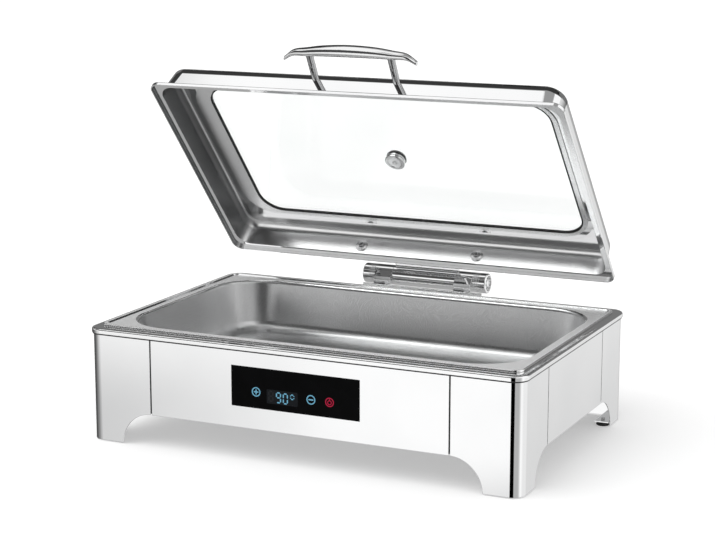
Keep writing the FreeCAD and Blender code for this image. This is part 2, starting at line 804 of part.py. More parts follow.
def box_stud_nuts():
    """Weld studs behind the front panel with their nuts, which hold the box."""
    pieces = []
    y0 = -HALF_D + SHEET
    y1 = y0 + BOX_DEEP
    for x, z in box_studs():
        stud = tube_y(SMALL_SCREW_R, x, y0, y1 + NUT_H + 1, z)
        pieces.append(stud.fuse(tube_y(SMALL_HEAD_R, x, y1, y1 + NUT_H, z)).removeSplitter())
    return group(pieces)


def control_board():
    """Circuit board with its display module and three touch pads."""
    y = board_place()
    w = DISPLAY_W / 2 - GLASS_SEAT - BOARD_FIT
    h = DISPLAY_H / 2 - GLASS_SEAT - BOARD_FIT
    board = box(-w, w, y, y + BOARD_T, DISPLAY_Z - h, DISPLAY_Z + h)
    for x, z in board_posts():
        board = board.cut(tube_y(BOARD_SCREW_R + HOLE_FIT, x, y - 1, y + BOARD_T + 1, z))
    front = -HALF_D - GLASS_PROUD + DISPLAY_T + MODULE_GAP
    x = DIGITS_X
    z = DIGITS_Z
    w = DIGITS_W / 2
    h = DIGITS_H / 2
    board = board.fuse(box(x - w, x + w, front, y + BOARD_T, z - h, z + h))
    for x in KEY_X:
        board = board.fuse(tube_y(KEY_R, x, front, y + BOARD_T, KEY_Z))
    return board.removeSplitter()


def board_screws():
    y = board_place()
    length = BOARD_T + BOARD_STAND - MODULE_GAP
    return group([dome_screw(BOARD_SCREW_R, length, 2.4, 1.2, V(x, y, z), Y_AXIS) for x, z in board_posts()])


# Power inlet

def inlet_screw_places():
    return [INLET_X - INLET_SCREWS / 2, INLET_X + INLET_SCREWS / 2]


def inlet_outline(w, h, cut, y):
    """The inlet's mouth: a box with its two upper corners cut off."""
    x = INLET_X
    z = INLET_Z
    corners = [(x - w, z - h), (x + w, z - h), (x + w, z + h - cut), (x + w - cut, z + h),
               (x - w + cut, z + h), (x - w, z + h - cut), (x - w, z - h)]
    return Part.Face(Part.makePolygon([V(a, y, b) for a, b in corners]))


def inlet_flange(y):
    """Six-sided flange that narrows to an ear on each side."""
    x = INLET_X
    z = INLET_Z
    w = INLET_W / 2 + INLET_FLANGE_REACH
    h = INLET_H / 2 + INLET_FLANGE_REACH
    ear = INLET_EARS / 2
    ear_h = SMALL_HEAD_R + 1
    corners = [(x - ear, z - ear_h), (x - w, z - h), (x + w, z - h), (x + ear, z - ear_h),
               (x + ear, z + ear_h), (x + w, z + h), (x - w, z + h), (x - ear, z + ear_h)]
    corners.append(corners[0])
    return Part.Face(Part.makePolygon([V(a, y, b) for a, b in corners])).extrude(V(0, INLET_FLANGE, 0))


def power_inlet():
    """Three-pin appliance inlet: flange with two ears outside the panel, shroud behind it."""
    y = HALF_D
    w = INLET_W / 2
    h = INLET_H / 2
    shroud = box(INLET_X - w, INLET_X + w, y - INLET_DEEP, y, INLET_Z - h, INLET_Z + h)
    body = shroud.fuse(inlet_flange(y))
    floor = y - INLET_DEEP + INLET_FLANGE
    mouth = inlet_outline(INLET_MOUTH_W / 2, INLET_MOUTH_H / 2, INLET_MOUTH_CUT, floor)
    body = body.cut(mouth.extrude(V(0, 2 * INLET_DEEP, 0)))
    body = body.cut(inlet_pins())
    for x in inlet_screw_places():
        body = body.cut(tube_y(SMALL_SCREW_R + HOLE_FIT, x, y - 1, y + INLET_FLANGE + 1, INLET_Z))
    return body.removeSplitter()


def inlet_pins():
    """Live and neutral level with each other, earth in the middle and higher."""
    y0 = HALF_D - INLET_DEEP - PIN_TAIL
    w = PIN_BLADE_W / 2
    h = PIN_BLADE_H / 2
    pins = []
    for dx, dz in ((-PIN_APART, -PIN_DOWN), (0.0, EARTH_UP), (PIN_APART, -PIN_DOWN)):
        x = INLET_X + dx
        z = INLET_Z + dz
        pins.append(box(x - w, x + w, y0, HALF_D, z - h, z + h))
    return group(pins)


def inlet_screws():
    at = HALF_D + INLET_FLANGE
    return group([small_screw(INLET_FLANGE + SHEET + SCREW_PAST, V(x, at, INLET_Z), V(0, -1, 0))
                  for x in inlet_screw_places()])


def bracket_screw_places():
    rows = (BRACKET_LOW + BRACKET_SCREW_UP, BRACKET_LOW + BRACKET_SCREW_UP + BRACKET_SCREW_ROW)
    return [(sx * BRACKET_SCREW_X, z) for sx in (-1, 1) for z in rows]


def rear_panel():
    """Rear panel with the inlet's cut-out, the hinge bracket's holes and a row of vent slots."""
    panel = drill_lip(long_panel(1))
    y0 = HALF_D - SHEET - 1
    y1 = HALF_D + 1
    w = INLET_W / 2 + DISPLAY_FIT
    h = INLET_H / 2 + DISPLAY_FIT
    panel = panel.cut(box(INLET_X - w, INLET_X + w, y0, y1, INLET_Z - h, INLET_Z + h))
    for x in inlet_screw_places():
        panel = panel.cut(tube_y(SMALL_SCREW_R + HOLE_FIT, x, y0, y1, INLET_Z))
    for x, z in bracket_screw_places():
        panel = panel.cut(tube_y(BRACKET_SCREW_R + HOLE_FIT, x, y0, y1, z))
    for k in range(VENTS):
        x = VENTS_X + (k - (VENTS - 1) / 2) * VENT_PITCH
        slot = round_plate(VENT_SLOT_W, VENT_SLOT_H, VENT_SLOT_W * 0.49, 0, y1 - y0)
        slot.rotate(V(0, 0, 0), X_AXIS, 90)
        slot.translate(V(x, y1, INLET_Z))
        panel = panel.cut(slot)
    return panel


def power_board():
    """Relay board on the floor cover, near the inlet, with its relay and a terminal block."""
    z = COVER_Z + COVER_T + STANDOFF_H
    w = POWER_W / 2
    d = POWER_D / 2
    board = box(INLET_X - w, INLET_X + w, POWER_Y - d, POWER_Y + d, z, z + BOARD_T)
    relay = box(INLET_X - w * 0.7, INLET_X - w * 0.1, POWER_Y - d * 0.45, POWER_Y + d * 0.45, z, z + RELAY_H)
    block = box(INLET_X + w * 0.2, INLET_X + w * 0.8, POWER_Y - d * 0.3, POWER_Y + d * 0.3,
                z, z + RELAY_H * 0.8)
    board = board.multiFuse([relay, block])
    for x, y in standoff_places():
        board = board.cut(tube_z(BOARD_SCREW_R + HOLE_FIT, x, y, z - 1, z + BOARD_T + 1))
    return board.removeSplitter()


def standoff_places():
    x = POWER_W / 2 - STANDOFF_IN
    y = POWER_D / 2 - STANDOFF_IN
    return [(INLET_X + sx * x, POWER_Y + sy * y) for sx in (-1, 1) for sy in (-1, 1)]


def board_standoffs():
    """Four snap posts that hold the relay board off the cover."""
    z = COVER_Z + COVER_T
    posts = []
    top = z + STANDOFF_H
    for x, y in standoff_places():
        post = tube_z(BOARD_POST_R, x, y, z, top)
        posts.append(post.fuse(tube_z(BOARD_SCREW_R, x, y, z, top + BOARD_T + 1)).removeSplitter())
    return group(posts)


# Hinge

def ring_x(r_out, r_in, x0, x1):
    """A ring round the hinge axis."""
    return tube_x(r_out, x0, x1, PIVOT_Y, PIVOT_Z).cut(tube_x(r_in, x0 - 1, x1 + 1, PIVOT_Y, PIVOT_Z))


def hinge_bracket():
    """Base half of the hinge: a plate on the rear panel, joggled round the rim, with two fixed knuckles."""
    y = HALF_D
    out = RIM_D / 2 + RIM_AWAY
    t = BRACKET_T
    shoulder = RIM_TOP - RIM_SKIRT - SHOULDER_DOWN
    step = out - y
    top = RIM_TOP + 2
    plate = polygon_x([(y, BRACKET_LOW), (y + t, BRACKET_LOW), (y + t, shoulder - step), (out + t, shoulder),
                       (out + t, top), (out, top), (out, shoulder), (y, shoulder - step)],
                      -BRACKET_HALF, BRACKET_HALF)
    low = RIM_TOP - RIM_SKIRT / 2
    r = BARREL_R
    for side in (-1, 1):
        x0, x1 = sorted((side * (KNUCKLE_HALF + SIDE_GAP), side * COLLAR_START))
        arm = polygon_x([(out, low), (out + t, low), (PIVOT_Y, PIVOT_Z - r), (PIVOT_Y, PIVOT_Z),
                         (PIVOT_Y - r * 0.8, PIVOT_Z + r * 0.58), (out, PIVOT_Z)], x0, x1)
        knuckle = tube_x(BARREL_R, x0, x1, PIVOT_Y, PIVOT_Z)
        plate = plate.multiFuse([arm, knuckle])
    plate = plate.cut(tube_x(PIN_R, -BARREL_HALF, BARREL_HALF, PIVOT_Y, PIVOT_Z))
    for x, z in bracket_screw_places():
        plate = plate.cut(tube_y(BRACKET_SCREW_R + HOLE_FIT, x, y - 1, y + t + 1, z))
    return plate.removeSplitter()


def bracket_screws():
    at = HALF_D + BRACKET_T
    length = BRACKET_T + SHEET + SCREW_PAST
    return group([dome_screw(BRACKET_SCREW_R, length, 4.2, 2.0, V(x, at, z), V(0, -1, 0))
                  for x, z in bracket_screw_places()])


def hinge_pin():
    half = BARREL_HALF - PIN_SHORT
    return tube_x(PIN_R, -half, half, PIVOT_Y, PIVOT_Z)


def hinge_collar(side):
    """Friction collar: a short ring with fine grooves round it, between the fixed knuckle and the cap."""
    x0, x1 = sorted((side * COLLAR_START, side * CAP_START))
    collar = ring_x(BARREL_R, PIN_R, x0, x1)
    for k in range(COLLAR_GROOVES):
        x = x0 + (k + 1) * (x1 - x0) / (COLLAR_GROOVES + 1)
        collar = collar.cut(ring_x(BARREL_R + 1, BARREL_R - GROOVE, x - GROOVE / 2, x + GROOVE / 2))
    return collar


def hinge_end_cap(side):
    """End cap, dished round the pin's end."""
    x0, x1 = sorted((side * CAP_START, side * BARREL_HALF))
    cap = tube_x(BARREL_R, x0, x1, PIVOT_Y, PIVOT_Z)
    face = side * BARREL_HALF
    rims = []
    for edge in cap.Edges:
        b = edge.BoundBox
        if abs(b.XMin - face) < 0.01 and abs(b.XMax - face) < 0.01:
            rims.append(edge)
    cap = cap.makeFillet(CAP_EDGE, rims)
    d0, d1 = sorted((face, face - side * DISH_DEEP))
    cap = cap.cut(tube_x(DISH_R, d0, d1, PIVOT_Y, PIVOT_Z))
    return cap.cut(tube_x(PIN_R, x0 - 1, x1 + 1, PIVOT_Y, PIVOT_Z))


def collars():
    return group([hinge_collar(-1), hinge_collar(1)])


def end_caps():
    return group([hinge_end_cap(-1), hinge_end_cap(1)])


def lid_wall(z):
    """Distance from the lid's middle line to the outer face of its front or back wall, at lid height z."""
    share = (z - LID_LIP) / (LID_TOP - LID_LIP)
    return LID_D / 2 - LID_LEDGE - LID_DRAFT * share


def hinge_leaf():
    """Lid half of the hinge: a plate on the lid's back wall, an arm over the rim and the middle knuckle."""
    z = LID_BASE
    low = lid_wall(LEAF_LOW)
    high = lid_wall(LEAF_TOP)
    plate = polygon_x([(low, z + LEAF_LOW), (high, z + LEAF_TOP), (high + LEAF_T, z + LEAF_TOP),
                       (low + LEAF_T, z + LEAF_LOW)], -LEAF_HALF, LEAF_HALF)
    half = KNUCKLE_HALF
    top = PIVOT_Z + BARREL_R
    under = top - ARM_T
    arm = polygon_x([(lid_wall(top - z), top), (lid_wall(under - z), under), (PIVOT_Y, under),
                     (PIVOT_Y, top)], -half, half)
    knuckle = tube_x(BARREL_R, -half, half, PIVOT_Y, PIVOT_Z)
    leaf = plate.multiFuse([arm, knuckle])
    leaf = leaf.cut(tube_x(PIN_R + PIN_FIT, -half - 1, half + 1, PIVOT_Y, PIVOT_Z))
    for x in (-HINGE_SCREW_X, HINGE_SCREW_X):
        leaf = leaf.cut(tube_y(LID_SCREW_R + HOLE_FIT, x, 0, PIVOT_Y - BARREL_R, z + HINGE_SCREW_Z))
    return leaf.removeSplitter()


def lid_screw(length, x, y, z, along):
    return dome_screw(LID_SCREW_R, length, LID_HEAD_R, LID_HEAD_H, V(x, y, LID_BASE + z), along)


def lid_washer(x, z, r, side):
    """A washer inside the lid's front or back wall, its back trimmed to the slope of the wall."""
    wall = lid_wall(z) - LID_SHEET
    y0, y1 = sorted((side * (wall - WASHER_T), side * (wall + WASHER_T)))
    ring = tube_y(r, x, y0, y1, LID_BASE + z)
    ring = ring.cut(tube_y(LID_SCREW_R + HOLE_FIT, x, y0 - 1, y1 + 1, LID_BASE + z))
    return ring.common(lid_hollow())


def hinge_screw_places():
    return (-HINGE_SCREW_X, HINGE_SCREW_X)


def nut_seat():
    """Where the hinge's cap nuts sit: on the leaf's outer face, clear of its slope."""
    slope = LID_DRAFT / (LID_TOP - LID_LIP)
    return lid_wall(HINGE_SCREW_Z) + LEAF_T + slope * CAP_NUT_R


def hinge_lid_screws():
    inside = lid_wall(HINGE_SCREW_Z) - LID_SHEET - WASHER_T
    length = nut_seat() + CAP_NUT_H * 0.8 - inside
    return group([lid_screw(length, x, inside, HINGE_SCREW_Z, Y_AXIS) for x in hinge_screw_places()])


def hinge_lid_washers():
    return group([lid_washer(x, HINGE_SCREW_Z, WASHER_R, 1) for x in hinge_screw_places()])


def hinge_lid_nuts():
    """Two cap nuts outside the leaf: a hexagon with a closed dome on it."""
    nuts = []
    for x in hinge_screw_places():
        nut = hexagon(CAP_NUT_R, 0, 0, 0, CAP_NUT_H)
        dome = Part.makeCone(CAP_NUT_R * 0.9, CAP_NUT_R * 0.5, CAP_NUT_H * 0.6, V(0, 0, CAP_NUT_H), Z_AXIS)
        nut = nut.fuse(dome)
        nut = nut.cut(tube_z(LID_SCREW_R + HOLE_FIT, 0, 0, -1, CAP_NUT_H * 0.9))
        nut.rotate(V(0, 0, 0), X_AXIS, -90)
        nut.translate(V(x, nut_seat(), LID_BASE + HINGE_SCREW_Z))
        nuts.append(nut.removeSplitter())
    return group(nuts)


# Lid

def lid_outer():
    w = LID_W - 2 * LID_LEDGE
    d = LID_D - 2 * LID_LEDGE
    t = LID_DRAFT
    outer = round_loft(w, d, LID_WALL_R0, LID_BASE + LID_LIP,
                       w - 2 * t, d - 2 * t, LID_WALL_R1, LID_BASE + LID_TOP)
    return outer.makeFillet(LID_EDGE, flat_edges(outer, LID_BASE + LID_TOP))


def lid_hollow():
    """The room inside the lid's wall, without the lip's room below it."""
    s = LID_SHEET
    w = LID_W - 2 * LID_LEDGE - 2 * s
    d = LID_D - 2 * LID_LEDGE - 2 * s
    t = LID_DRAFT
    top = LID_BASE + LID_TOP - s
    hollow = round_loft(w, d, LID_WALL_R0 - s, LID_BASE + LID_LIP, w - 2 * t, d - 2 * t, LID_WALL_R1 - s, top)
    return hollow.makeFillet(LID_EDGE - s, flat_edges(hollow, top))


def window_plate(reach, z0, z1):
    """A plate of the window's shape, grown by reach all round, between two lid heights."""
    return round_plate(WINDOW_W + 2 * reach, WINDOW_D + 2 * reach, WINDOW_R + reach,
                       LID_BASE + z0, LID_BASE + z1, WINDOW_SHIFT)


def lid_shell():
    """Drawn lid: lip, ledge, wall, rounded edge, and a stepped recess with the window's opening."""
    s = LID_SHEET
    ledge_top = LID_BASE + LID_LIP + s
    skirt = round_plate(LID_W, LID_D, LID_CORNER, LID_BASE, ledge_top)
    skirt = skirt.makeFillet(LIP_EDGE, flat_edges(skirt, ledge_top))
    inner = round_plate(LID_W - 2 * s, LID_D - 2 * s, LID_CORNER - s, LID_BASE - 1, LID_BASE + LID_LIP)
    skirt = skirt.cut(inner)
    shell = skirt.fuse(lid_outer())
    seat = LID_TOP - RECESS_DEEP
    hollow = lid_hollow().cut(window_plate(RECESS_REACH + s, seat - s, LID_TOP + 1))
    w = LID_W - 2 * LID_LEDGE - 2 * s
    d = LID_D - 2 * LID_LEDGE - 2 * s
    hollow = hollow.fuse(round_plate(w, d, LID_WALL_R0 - s, LID_BASE - 1, LID_BASE + LID_LIP))
    shell = shell.cut(hollow)
    shell = shell.cut(window_plate(RECESS_REACH, seat, LID_TOP + 1))
    shell = shell.cut(window_plate(0, seat - 2 * s, LID_TOP + 1))
    hole = LID_SCREW_R + HOLE_FIT
    for x in hinge_screw_places():
        shell = shell.cut(tube_y(hole, x, WINDOW_D / 2 + RECESS_REACH, LID_D, LID_BASE + HINGE_SCREW_Z))
    for x in (-POST_X, POST_X):
        shell = shell.cut(tube_y(hole, x, -LID_D, -WINDOW_D / 2 - RECESS_REACH, LID_BASE + POST_Z))
    return shell.removeSplitter()


def lid_glass():
    pane = window_plate(PANE_REACH, LID_TOP - PANE_T, LID_TOP)
    return pane.cut(tube_z(VENT_HOLE_R, VENT_X, VENT_Y, LID_BASE, LID_BASE + LID_TOP + 1))


def glass_gasket():
    """Black seal: a flat ring under the pane's edge and an upstand round it."""
    seat = LID_TOP - RECESS_DEEP
    ring = window_plate(RECESS_REACH, seat, LID_TOP - GASKET_DOWN)
    ring = ring.cut(window_plate(PANE_REACH, LID_TOP - PANE_T, LID_TOP + 1))
    return ring.cut(window_plate(-GASKET_SHOW, seat - 1, LID_TOP + 1))


def vent_tube(r, z0, z1):
    return tube_z(r, VENT_X, VENT_Y, LID_BASE + z0, LID_BASE + z1)


def vent_cap():
    """Steam vent: a low disc on the glass with a hollow stem through it."""
    top = LID_TOP
    at = V(VENT_X, VENT_Y, LID_BASE + top)
    disc = Part.makeCone(VENT_R, VENT_R - VENT_EDGE, VENT_T, at, Z_AXIS)
    stem = vent_tube(VENT_HOLE_R - VENT_FIT, top - PANE_T - VENT_NUT_T - VENT_EDGE, top + VENT_T / 2)
    return disc.fuse(stem).cut(vent_tube(VENT_BORE_R, 0, 2 * top)).removeSplitter()


def vent_nut():
    """Round nut under the glass, stepped, drawn up on the stem."""
    low = LID_TOP - PANE_T
    disc = vent_tube(VENT_R - VENT_EDGE, low - VENT_NUT_T / 2, low)
    boss = vent_tube(VENT_R - 3 * VENT_EDGE, low - VENT_NUT_T, low)
    return disc.fuse(boss).cut(vent_tube(VENT_HOLE_R - VENT_FIT, 0, 2 * low)).removeSplitter()


def bar_line(x):
    """Centre of the handle bar at x: a bow whose tips turn back to the lid and down."""
    u = abs(x) / HANDLE_HALF
    share = 1 - u ** 2
    turn = max(u - HANDLE_TURN, 0.0) / (1 - HANDLE_TURN)
    out = LID_D / 2 + HANDLE_OUT + HANDLE_BOW * share - TIP_BACK * turn
    up = LID_BASE + HANDLE_Z + HANDLE_RISE * share - TIP_DROP * turn
    return -out, up


def bar_size(x):
    """Half thickness and half height of the bar at x: fullest in the middle, slim at the turned tips."""
    u = abs(x) / HANDLE_HALF
    turn = max(u - HANDLE_TURN, 0.0) / (1 - HANDLE_TURN)
    s = 1 - (1 - BAR_END) * min(u / HANDLE_TURN, 1.0) ** 2 - (BAR_END - BAR_TIP) * turn
    return BAR_T / 2 * s, BAR_H / 2 * s


def handle_bar():
    """Bowed bar, thickest in the middle, lofted through ovals that follow the bow."""
    sections = []
    for k in range(-BAR_STEPS, BAR_STEPS + 1):
        x = HANDLE_HALF * math.sin(math.radians(90.0 * k / BAR_STEPS))
        y, z = bar_line(x)
        a, b = bar_size(x)
        oval = Part.makeCircle(1.0, V(0, 0, 0), X_AXIS)
        scale = FreeCAD.Matrix()
        scale.scale(1, a, b)
        oval = oval.transformGeometry(scale)
        oval.translate(V(x, y, z))
        sections.append(Part.Wire(oval.Edges))
    return Part.makeLoft(sections, True, False)


def post_line(side):
    """The post's two ends: on the front wall, and at the bar's centre line."""
    x = side * POST_X
    y1, z1 = bar_line(x)
    return V(x, -lid_wall(POST_Z), LID_BASE + POST_Z), V(x, y1, z1)


def handle_posts():
    """Two round posts between the lid's front wall and the bar, each drilled for its screw."""
    bar = handle_bar()
    body = lid_outer()
    posts = []
    for side in (-1, 1):
        a, b = post_line(side)
        along = b - a
        length = along.Length
        along.normalize()
        start = a - along * 2 * POST_R
        post = Part.makeCylinder(POST_R, length + 2 * POST_R, start, along)
        post = post.cut(body).cut(bar)
        post = max(post.Solids, key=lambda piece: piece.Volume)
        hole = tube_y(LID_SCREW_R + HOLE_FIT, side * POST_X, a.y - POST_SCREW_IN, a.y + LID_SHEET, a.z)
        posts.append(post.cut(hole))
    return group(posts)


def handle_screws():
    inside = lid_wall(POST_Z) - LID_SHEET - WASHER_T
    length = LID_SHEET + WASHER_T + POST_SCREW_IN * 0.9
    return group([lid_screw(length, x, -inside, POST_Z, V(0, -1, 0)) for x in (-POST_X, POST_X)])


def handle_washers():
    return group([lid_washer(x, POST_Z, HANDLE_WASHER_R, -1) for x in (-POST_X, POST_X)])


def save(name, shape, on_lid=False):
    """Writes one node; lid pieces are first turned up about the hinge axis to the rest angle."""
    shape = shape.copy()
    if on_lid:
        shape.rotate(V(0, PIVOT_Y, PIVOT_Z), X_AXIS, -LID_REST_ANGLE)
    shape.translate(V(0, -MID_Y, 0))
    shape.exportStep("parts/" + name + ".step")


def main():
    save("front_panel", front_panel())
    save("rear_panel", rear_panel())
    save("left_panel", drill_lip(end_panel(-1)))
    save("right_panel", drill_lip(end_panel(1)))
    save("leg_front_left", leg(-1, -1))
    save("leg_front_right", leg(1, -1))
    save("leg_rear_left", leg(-1, 1))
    save("leg_rear_right", leg(1, 1))
    save("seam_straps", seam_straps())
    save("rubber_feet", rubber_feet())
    save("foot_screws", foot_screws())
    save("top_rim", top_rim())
    save("water_pan", water_pan())
    save("food_pan", food_pan())
    save("heater_plate", heater_plate())
    save("heating_element", heating_element())
    save("heater_clamps", heater_clamps())
    save("heater_studs", heater_studs())
    save("heater_spacers", heater_spacers())
    save("heat_shield", heat_shield())
    save("shield_nuts", shield_nuts())
    save("thermal_cutout", thermal_cutout())
    save("temperature_probe", temperature_probe())
    save("bottom_cover", bottom_cover())
    save("cover_screws", cover_screws())
    save("display_glass", display_glass())
    save("control_box", control_box())
    save("box_stud_nuts", box_stud_nuts())
    save("control_board", control_board())
    save("board_screws", board_screws())
    save("power_inlet", power_inlet())
    save("inlet_pins", inlet_pins())
    save("inlet_screws", inlet_screws())
    save("power_board", power_board())
    save("board_standoffs", board_standoffs())
    save("hinge_bracket", hinge_bracket())
    save("bracket_screws", bracket_screws())
    save("hinge_pin", hinge_pin())
    save("hinge_collars", collars())
    save("hinge_end_caps", end_caps())
    save("hinge_leaf", hinge_leaf(), True)
    save("hinge_lid_screws", hinge_lid_screws(), True)
    save("hinge_lid_washers", hinge_lid_washers(), True)
    save("hinge_lid_nuts", hinge_lid_nuts(), True)
    save("lid_shell", lid_shell(), True)
    save("lid_glass", lid_glass(), True)
    save("glass_gasket", glass_gasket(), True)
    save("vent_cap", vent_cap(), True)
    save("vent_nut", vent_nut(), True)
    save("handle_bar", handle_bar(), True)
    save("handle_posts", handle_posts(), True)
    save("handle_screws", handle_screws(), True)
    save("handle_washers", handle_washers(), True)


main()
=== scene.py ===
import bpy
import bmesh
import math
from mathutils import Matrix, Vector


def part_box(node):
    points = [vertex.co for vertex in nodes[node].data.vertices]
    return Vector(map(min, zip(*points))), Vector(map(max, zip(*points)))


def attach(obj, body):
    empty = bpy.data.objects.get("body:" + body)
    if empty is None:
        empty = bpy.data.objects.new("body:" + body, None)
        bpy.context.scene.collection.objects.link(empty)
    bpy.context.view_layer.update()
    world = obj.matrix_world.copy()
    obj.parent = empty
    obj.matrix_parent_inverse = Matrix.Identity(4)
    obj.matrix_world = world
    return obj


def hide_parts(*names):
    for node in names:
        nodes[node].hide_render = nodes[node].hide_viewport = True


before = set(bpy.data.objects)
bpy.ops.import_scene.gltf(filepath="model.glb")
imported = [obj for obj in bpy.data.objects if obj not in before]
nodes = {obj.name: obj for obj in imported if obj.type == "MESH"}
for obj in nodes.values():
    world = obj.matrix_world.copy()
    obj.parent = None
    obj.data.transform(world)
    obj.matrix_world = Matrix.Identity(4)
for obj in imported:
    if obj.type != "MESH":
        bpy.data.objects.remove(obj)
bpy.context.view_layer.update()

# Electric chafing dish with its glass lid standing open. Metres, Z up, the front of the dish faces -Y.

# The photograph's viewpoint, and a lens that gives its nearly flat perspective.
EYE = Vector((0.9629, -2.07905, 0.6660))
TURN = math.radians(25.13)
DIP = math.radians(11.58)
LENS = 96.15

# The lid stands open at rest by this angle, round this line.
LID_OPEN = math.radians(48.3)
HINGE_LINE = Vector((0, 0.18625, 0.1515))

# The height of the closed lid's foot, and the middle of stand and closed lid from front to back.
LID_FOOT = 0.1423
BODY_MIDDLE = -0.01575

# Where the lid's walls lean into its crown: from and to, above its foot, and how far. Outside, then inside.
OUTER_LEAN = 0.0292, 0.0350, 0.85
INNER_LEAN = 0.0262, 0.0340, -0.80

# A wall's normal times its place from the lid's middle, in metres: where it starts to count as an outer wall, and
# where it fully does. An inner wall has the same values below zero.
WALL_FACING = 0.03, 0.08

# How much a wall faces sideways where the mask of the side walls starts and is full. Inside, those walls get
# painted shade.
SHADED_SIDE_FACING = 0.5, 0.9

# The height from which a pan's flange is polished, how soft that change is, and the roughness of the polish.
FLANGE_FOOT = 0.1376
FLANGE_FADE = 0.002
FLANGE_POLISH = 0.06

# The flange's level part: how much it faces up where its mask starts and is full, its tone, and how metallic
# it looks.
LEVEL_FACING = 0.93, 0.98
LEVEL_TONE = 1.0
LEVEL_METAL = 0.45

# Steel: scale and detail of the noise in its tone and in its slow waves, the heights of waves and grain, and the
# radius of its eased edges.
CLOUDS = 7.0, 3.0
WAVES = 9.0, 1.0
WAVE_HEIGHT = 0.002
GRAIN_HEIGHT = 0.0002
EDGE_RADIUS = 0.0006

# Plastic: noise scale of its spark-eroded grain and its cloudy tone, and the grain's strength and height.
SPARKS = 1800.0
PLASTIC_CLOUDS = 25.0
SPARK_STRENGTH = 0.08
SPARK_HEIGHT = 0.0003


def set_camera():
    data = bpy.data.cameras.new("camera")
    data.lens = LENS
    data.sensor_width = 36.0
    data.sensor_fit = "HORIZONTAL"
    data.clip_start = 0.05
    data.clip_end = 60.0
    camera = bpy.data.objects.new("camera", data)
    bpy.context.scene.collection.objects.link(camera)
    camera.location = EYE
    camera.rotation_euler = (math.radians(90.0) - DIP, 0.0, TURN)
    bpy.context.scene.camera = camera


# Small helpers for node trees

def fresh(name):
    """A new material with a shader and an output, and nothing else."""
    mat = bpy.data.materials.new(name)
    mat.use_nodes = True
    tree = mat.node_tree
    tree.nodes.clear()
    out = tree.nodes.new("ShaderNodeOutputMaterial")
    shader = tree.nodes.new("ShaderNodeBsdfPrincipled")
    tree.links.new(shader.outputs["BSDF"], out.inputs["Surface"])
    return mat, tree, shader


def add(tree, kind, **values):
    """A new node. Each value is set on the node itself, or else on its input of that name."""
    node = tree.nodes.new(kind)
    for key, value in values.items():
        if hasattr(node, key):
            setattr(node, key, value)
        else:
            node.inputs[key.replace("_", " ")].default_value = value
    return node


def noise(tree, vector, scale, detail=2.0):
    node = add(tree, "ShaderNodeTexNoise", Scale=scale, Detail=detail)
    tree.links.new(vector, node.inputs["Vector"])
    return node.outputs["Fac"]


def stops(tree, source, low, high, at=(0.35, 0.65)):
    """A ramp from one colour to another."""
    ramp = tree.nodes.new("ShaderNodeValToRGB")
    ramp.color_ramp.elements[0].position = at[0]
    ramp.color_ramp.elements[1].position = at[1]
    ramp.color_ramp.elements[0].color = low
    ramp.color_ramp.elements[1].color = high
    tree.links.new(source, ramp.inputs["Fac"])
    return ramp.outputs["Color"]


def grey(v, tint):
    return (v - tint, v, v + tint, 1.0)


def span(tree, source, low, high):
    """Maps a noise, whose values mostly lie between 0.3 and 0.7, to low..high."""
    node = add(tree, "ShaderNodeMapRange", From_Min=0.3, From_Max=0.7, To_Min=low, To_Max=high)
    tree.links.new(source, node.inputs["Value"])
    return node.outputs["Result"]


def smooth(tree, source, start, end):
    """A soft step from 0 at start to 1 at end, whichever of the two is larger."""
    rising = start < end
    step = add(tree, "ShaderNodeMapRange", interpolation_type="SMOOTHSTEP",
               From_Min=min(start, end), From_Max=max(start, end),
               To_Min=0.0 if rising else 1.0, To_Max=1.0 if rising else 0.0)
    tree.links.new(source, step.inputs["Value"])
    return step.outputs["Result"]


def product(tree, one, other):
    node = add(tree, "ShaderNodeMath", operation="MULTIPLY")
    tree.links.new(one, node.inputs[0])
    tree.links.new(other, node.inputs[1])
    return node.outputs[0]


def dimmed(tree, mask, depth):
    """1 where a mask is 0, and less by the depth where the mask is 1."""
    less = add(tree, "ShaderNodeMath", operation="MULTIPLY_ADD")
    less.inputs[1].default_value = -depth
    less.inputs[2].default_value = 1.0
    tree.links.new(mask, less.inputs[0])
    return less.outputs[0]


def component(tree, vector, axis):
    parts = add(tree, "ShaderNodeSeparateXYZ")
    tree.links.new(vector, parts.inputs["Vector"])
    return parts.outputs[axis]


def relief(tree, height, strength, distance):
    node = add(tree, "ShaderNodeBump", Strength=strength, Distance=distance)
    tree.links.new(height, node.inputs["Height"])
    return node


def second_finish(tree, where, colour, polish, tone, rough):
    """Lets a finish change to another one, where a mask is 1."""
    other = tree.nodes.new("ShaderNodeMixRGB")
    other.inputs["Color2"].default_value = grey(tone, 0.002)
    tree.links.new(where, other.inputs["Fac"])
    tree.links.new(colour, other.inputs["Color1"])
    rub = add(tree, "ShaderNodeMapRange", To_Max=rough)
    tree.links.new(where, rub.inputs["Value"])
    tree.links.new(polish, rub.inputs["To Min"])
    return other.outputs["Color"], rub.outputs["Result"]


# Finishes

